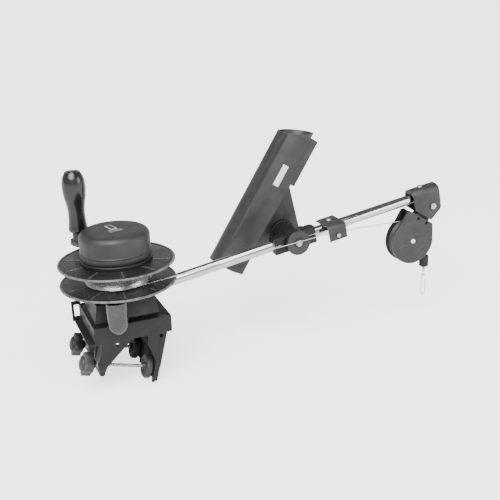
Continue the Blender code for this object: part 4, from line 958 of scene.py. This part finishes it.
refined = {
    "clamp_bracket": ("mouldedBlack", 0.9), "reel_base": ("mouldedBlack", 0.6),
    "crank_arm": ("mouldedGrey", 0.9), "grip_spindle": ("glossBlack", 0.5),
    "clamp_knob_front": ("mouldedGrey", 1.4), "clamp_knob_rear": ("mouldedBlack", 1.4),
    "clamp_nut_front": ("brightSteel", 0.4), "clamp_nut_rear": ("brightSteel", 0.4),
    "cable_guide": ("mouldedGrey", 0.5), "guide_roller": ("mouldedBlack", 0.3),
    "guide_screw": ("brightSteel", 0.4), "guide_pin": ("brightSteel", 0.4),
    "boom_end_saddle": ("mouldedGrey", 0.6), "saddle_screw": ("brightSteel", 0.4),
    "saddle_pin": ("brightSteel", 0.5), "pin_clip": ("brightSteel", 0.3),
    "boom_end_plug": ("mouldedBlack", 0.5), "pulley_cheek_back": ("mouldedBlack", 0.8),
    "pulley_hanger": ("mouldedBlack", 0.5), "mount_hub": ("mouldedBlack", 0.6),
    "mount_jaw_upper": ("mouldedBlack", 0.9), "mount_jaw_lower": ("mouldedBlack", 0.9),
    "mount_front_disc": ("mouldedGrey", 0.7), "mount_front_bolt": ("brightSteel", 0.5),
    "mount_set_screw": ("brightSteel", 0.4), "rod_holder_tube": ("mouldedGrey", 0.7),
    "rod_holder_gear": ("mouldedBlack", 0.3), "rod_holder_knob": ("mouldedBlack", 1.2),
    "rod_holder_plate": ("whitePlate", 0.2), "swivel_barrel": ("turnedBrass", 0.2),
    "swivel_ring": ("woundSteel", 0.05), "wire_snap": ("woundSteel", 0.05),
    "pawl": ("brightSteel", 0.4), "ratchet_gear": ("brightSteel", 0.2),
    "pawl_pin": ("brightSteel", 0.2), "spindle_shaft": ("brightSteel", 0.4),
    "thrust_washer": ("brightSteel", 0.2), "spool_drum": ("mouldedBlack", 0.4),
    "jaw_lining_front": ("softRubber", 0.2), "jaw_lining_middle": ("softRubber", 0.2),
    "jaw_lining_rear": ("softRubber", 0.2),
}
for node, (finish, width) in refined.items():
    words = node.split("_")
    name = words[0] + "".join(word.capitalize() for word in words[1:])
    settle(refine(name, node, width * mm), finish, bodyOf[node], slotOf[node], node)
print("refined pieces:", len(refined))


# floor, light and camera

studio = {
    "floorZ": -0.0983, "floorHalf": 30, "floor": (0.93, 0.93, 0.925), "floorGlow": (0.1, 1.9),
    "sky": (0.95, 0.96, 0.98), "zenith": (0.16, 0.16, 0.17), "skyStrength": 0.8, "skyFade": (0.15, 0.75),
    "broadStrength": 5.0, "broadAngle": 70, "broadAim": (0.35, 0.55, -1), "aim": (0.25, 0, 0.08),
    "key": {"place": (-0.8, -1.5, 1.7), "size": (1.4, 1.0), "power": 30},
    "fill": {"place": (1.7, -1.3, 0.8), "size": (1.2, 1.0), "power": 16},
    "lens": 59.1, "cameraPlace": (-0.2735, -1.3014, 0.5818),
    "cameraTurn": ((0.92361, 0.15926, -0.34848), (-0.38124, 0.29398, -0.87616), (-0.03714, 0.94219, 0.33226)),
}


def makeFloor(sizes):
    half = sizes["floorHalf"]
    mesh = bpy.data.meshes.new("studioFloor")
    corners = [(-half, -half, 0), (half, -half, 0), (half, half, 0), (-half, half, 0)]
    mesh.from_pydata(corners, [], [(0, 1, 2, 3)])
    floor = linked("studioFloor", mesh)
    floor.location.z = sizes["floorZ"]
    paint = bpy.data.materials.new("paleFloor")
    paint.use_nodes = True
    tree = paint.node_tree
    shader = tree.nodes["Principled BSDF"]
    shader.inputs["Base Color"].default_value = (*sizes["floor"], 1)
    shader.inputs["Roughness"].default_value = 0.9
    shader.inputs["Emission Color"].default_value = (*sizes["floor"], 1)
    seen = addNode(tree, "ShaderNodeLightPath").outputs["Is Camera Ray"]
    tree.links.new(mapped(tree, seen, (0, 1), sizes["floorGlow"]), shader.inputs["Emission Strength"])
    mesh.materials.append(paint)
    return floor


def makeSky(sizes):
    # bright round the horizon and dark overhead
    world = bpy.data.worlds.new("studioAir")
    world.use_nodes = True
    tree = world.node_tree
    height = addNode(tree, "ShaderNodeSeparateXYZ")
    tree.links.new(addNode(tree, "ShaderNodeTexCoord").outputs["Generated"], height.inputs[0])
    fade = mapped(tree, height.outputs["Z"], sizes["skyFade"], (0, 1))
    tree.links.new(blendColour(tree, fade, sizes["sky"], sizes["zenith"]), tree.nodes["Background"].inputs[0])
    tree.nodes["Background"].inputs[1].default_value = sizes["skyStrength"]
    return world


def softLight(name, sizes, target):
    data = bpy.data.lights.new(name, "AREA")
    data.shape = "RECTANGLE"
    data.size, data.size_y = sizes["size"]
    data.energy = sizes["power"]
    made = linked(name, data)
    made.location = sizes["place"]
    made.rotation_euler = (Vector(target) - Vector(sizes["place"])).to_track_quat("-Z", "Y").to_euler()


def broadLight(sizes):
    data = bpy.data.lights.new("broadLight", "SUN")
    data.energy = sizes["broadStrength"]
    data.angle = math.radians(sizes["broadAngle"])
    made = linked("broadLight", data)
    made.rotation_euler = Vector(sizes["broadAim"]).to_track_quat("-Z", "Y").to_euler()


def makeCamera(sizes):
    lens = bpy.data.cameras.new("view")
    lens.lens = sizes["lens"]
    lens.sensor_width = 36
    lens.clip_end = 100
    camera = linked("view", lens)
    camera.matrix_world = at(*sizes["cameraPlace"]) @ Matrix(sizes["cameraTurn"]).to_4x4()
    return camera


makeFloor(studio)
bpy.context.scene.world = makeSky(studio)
softLight("keyLight", studio["key"], studio["aim"])
softLight("fillLight", studio["fill"], studio["aim"])
broadLight(studio)
bpy.context.scene.camera = makeCamera(studio)
print("studio ready")
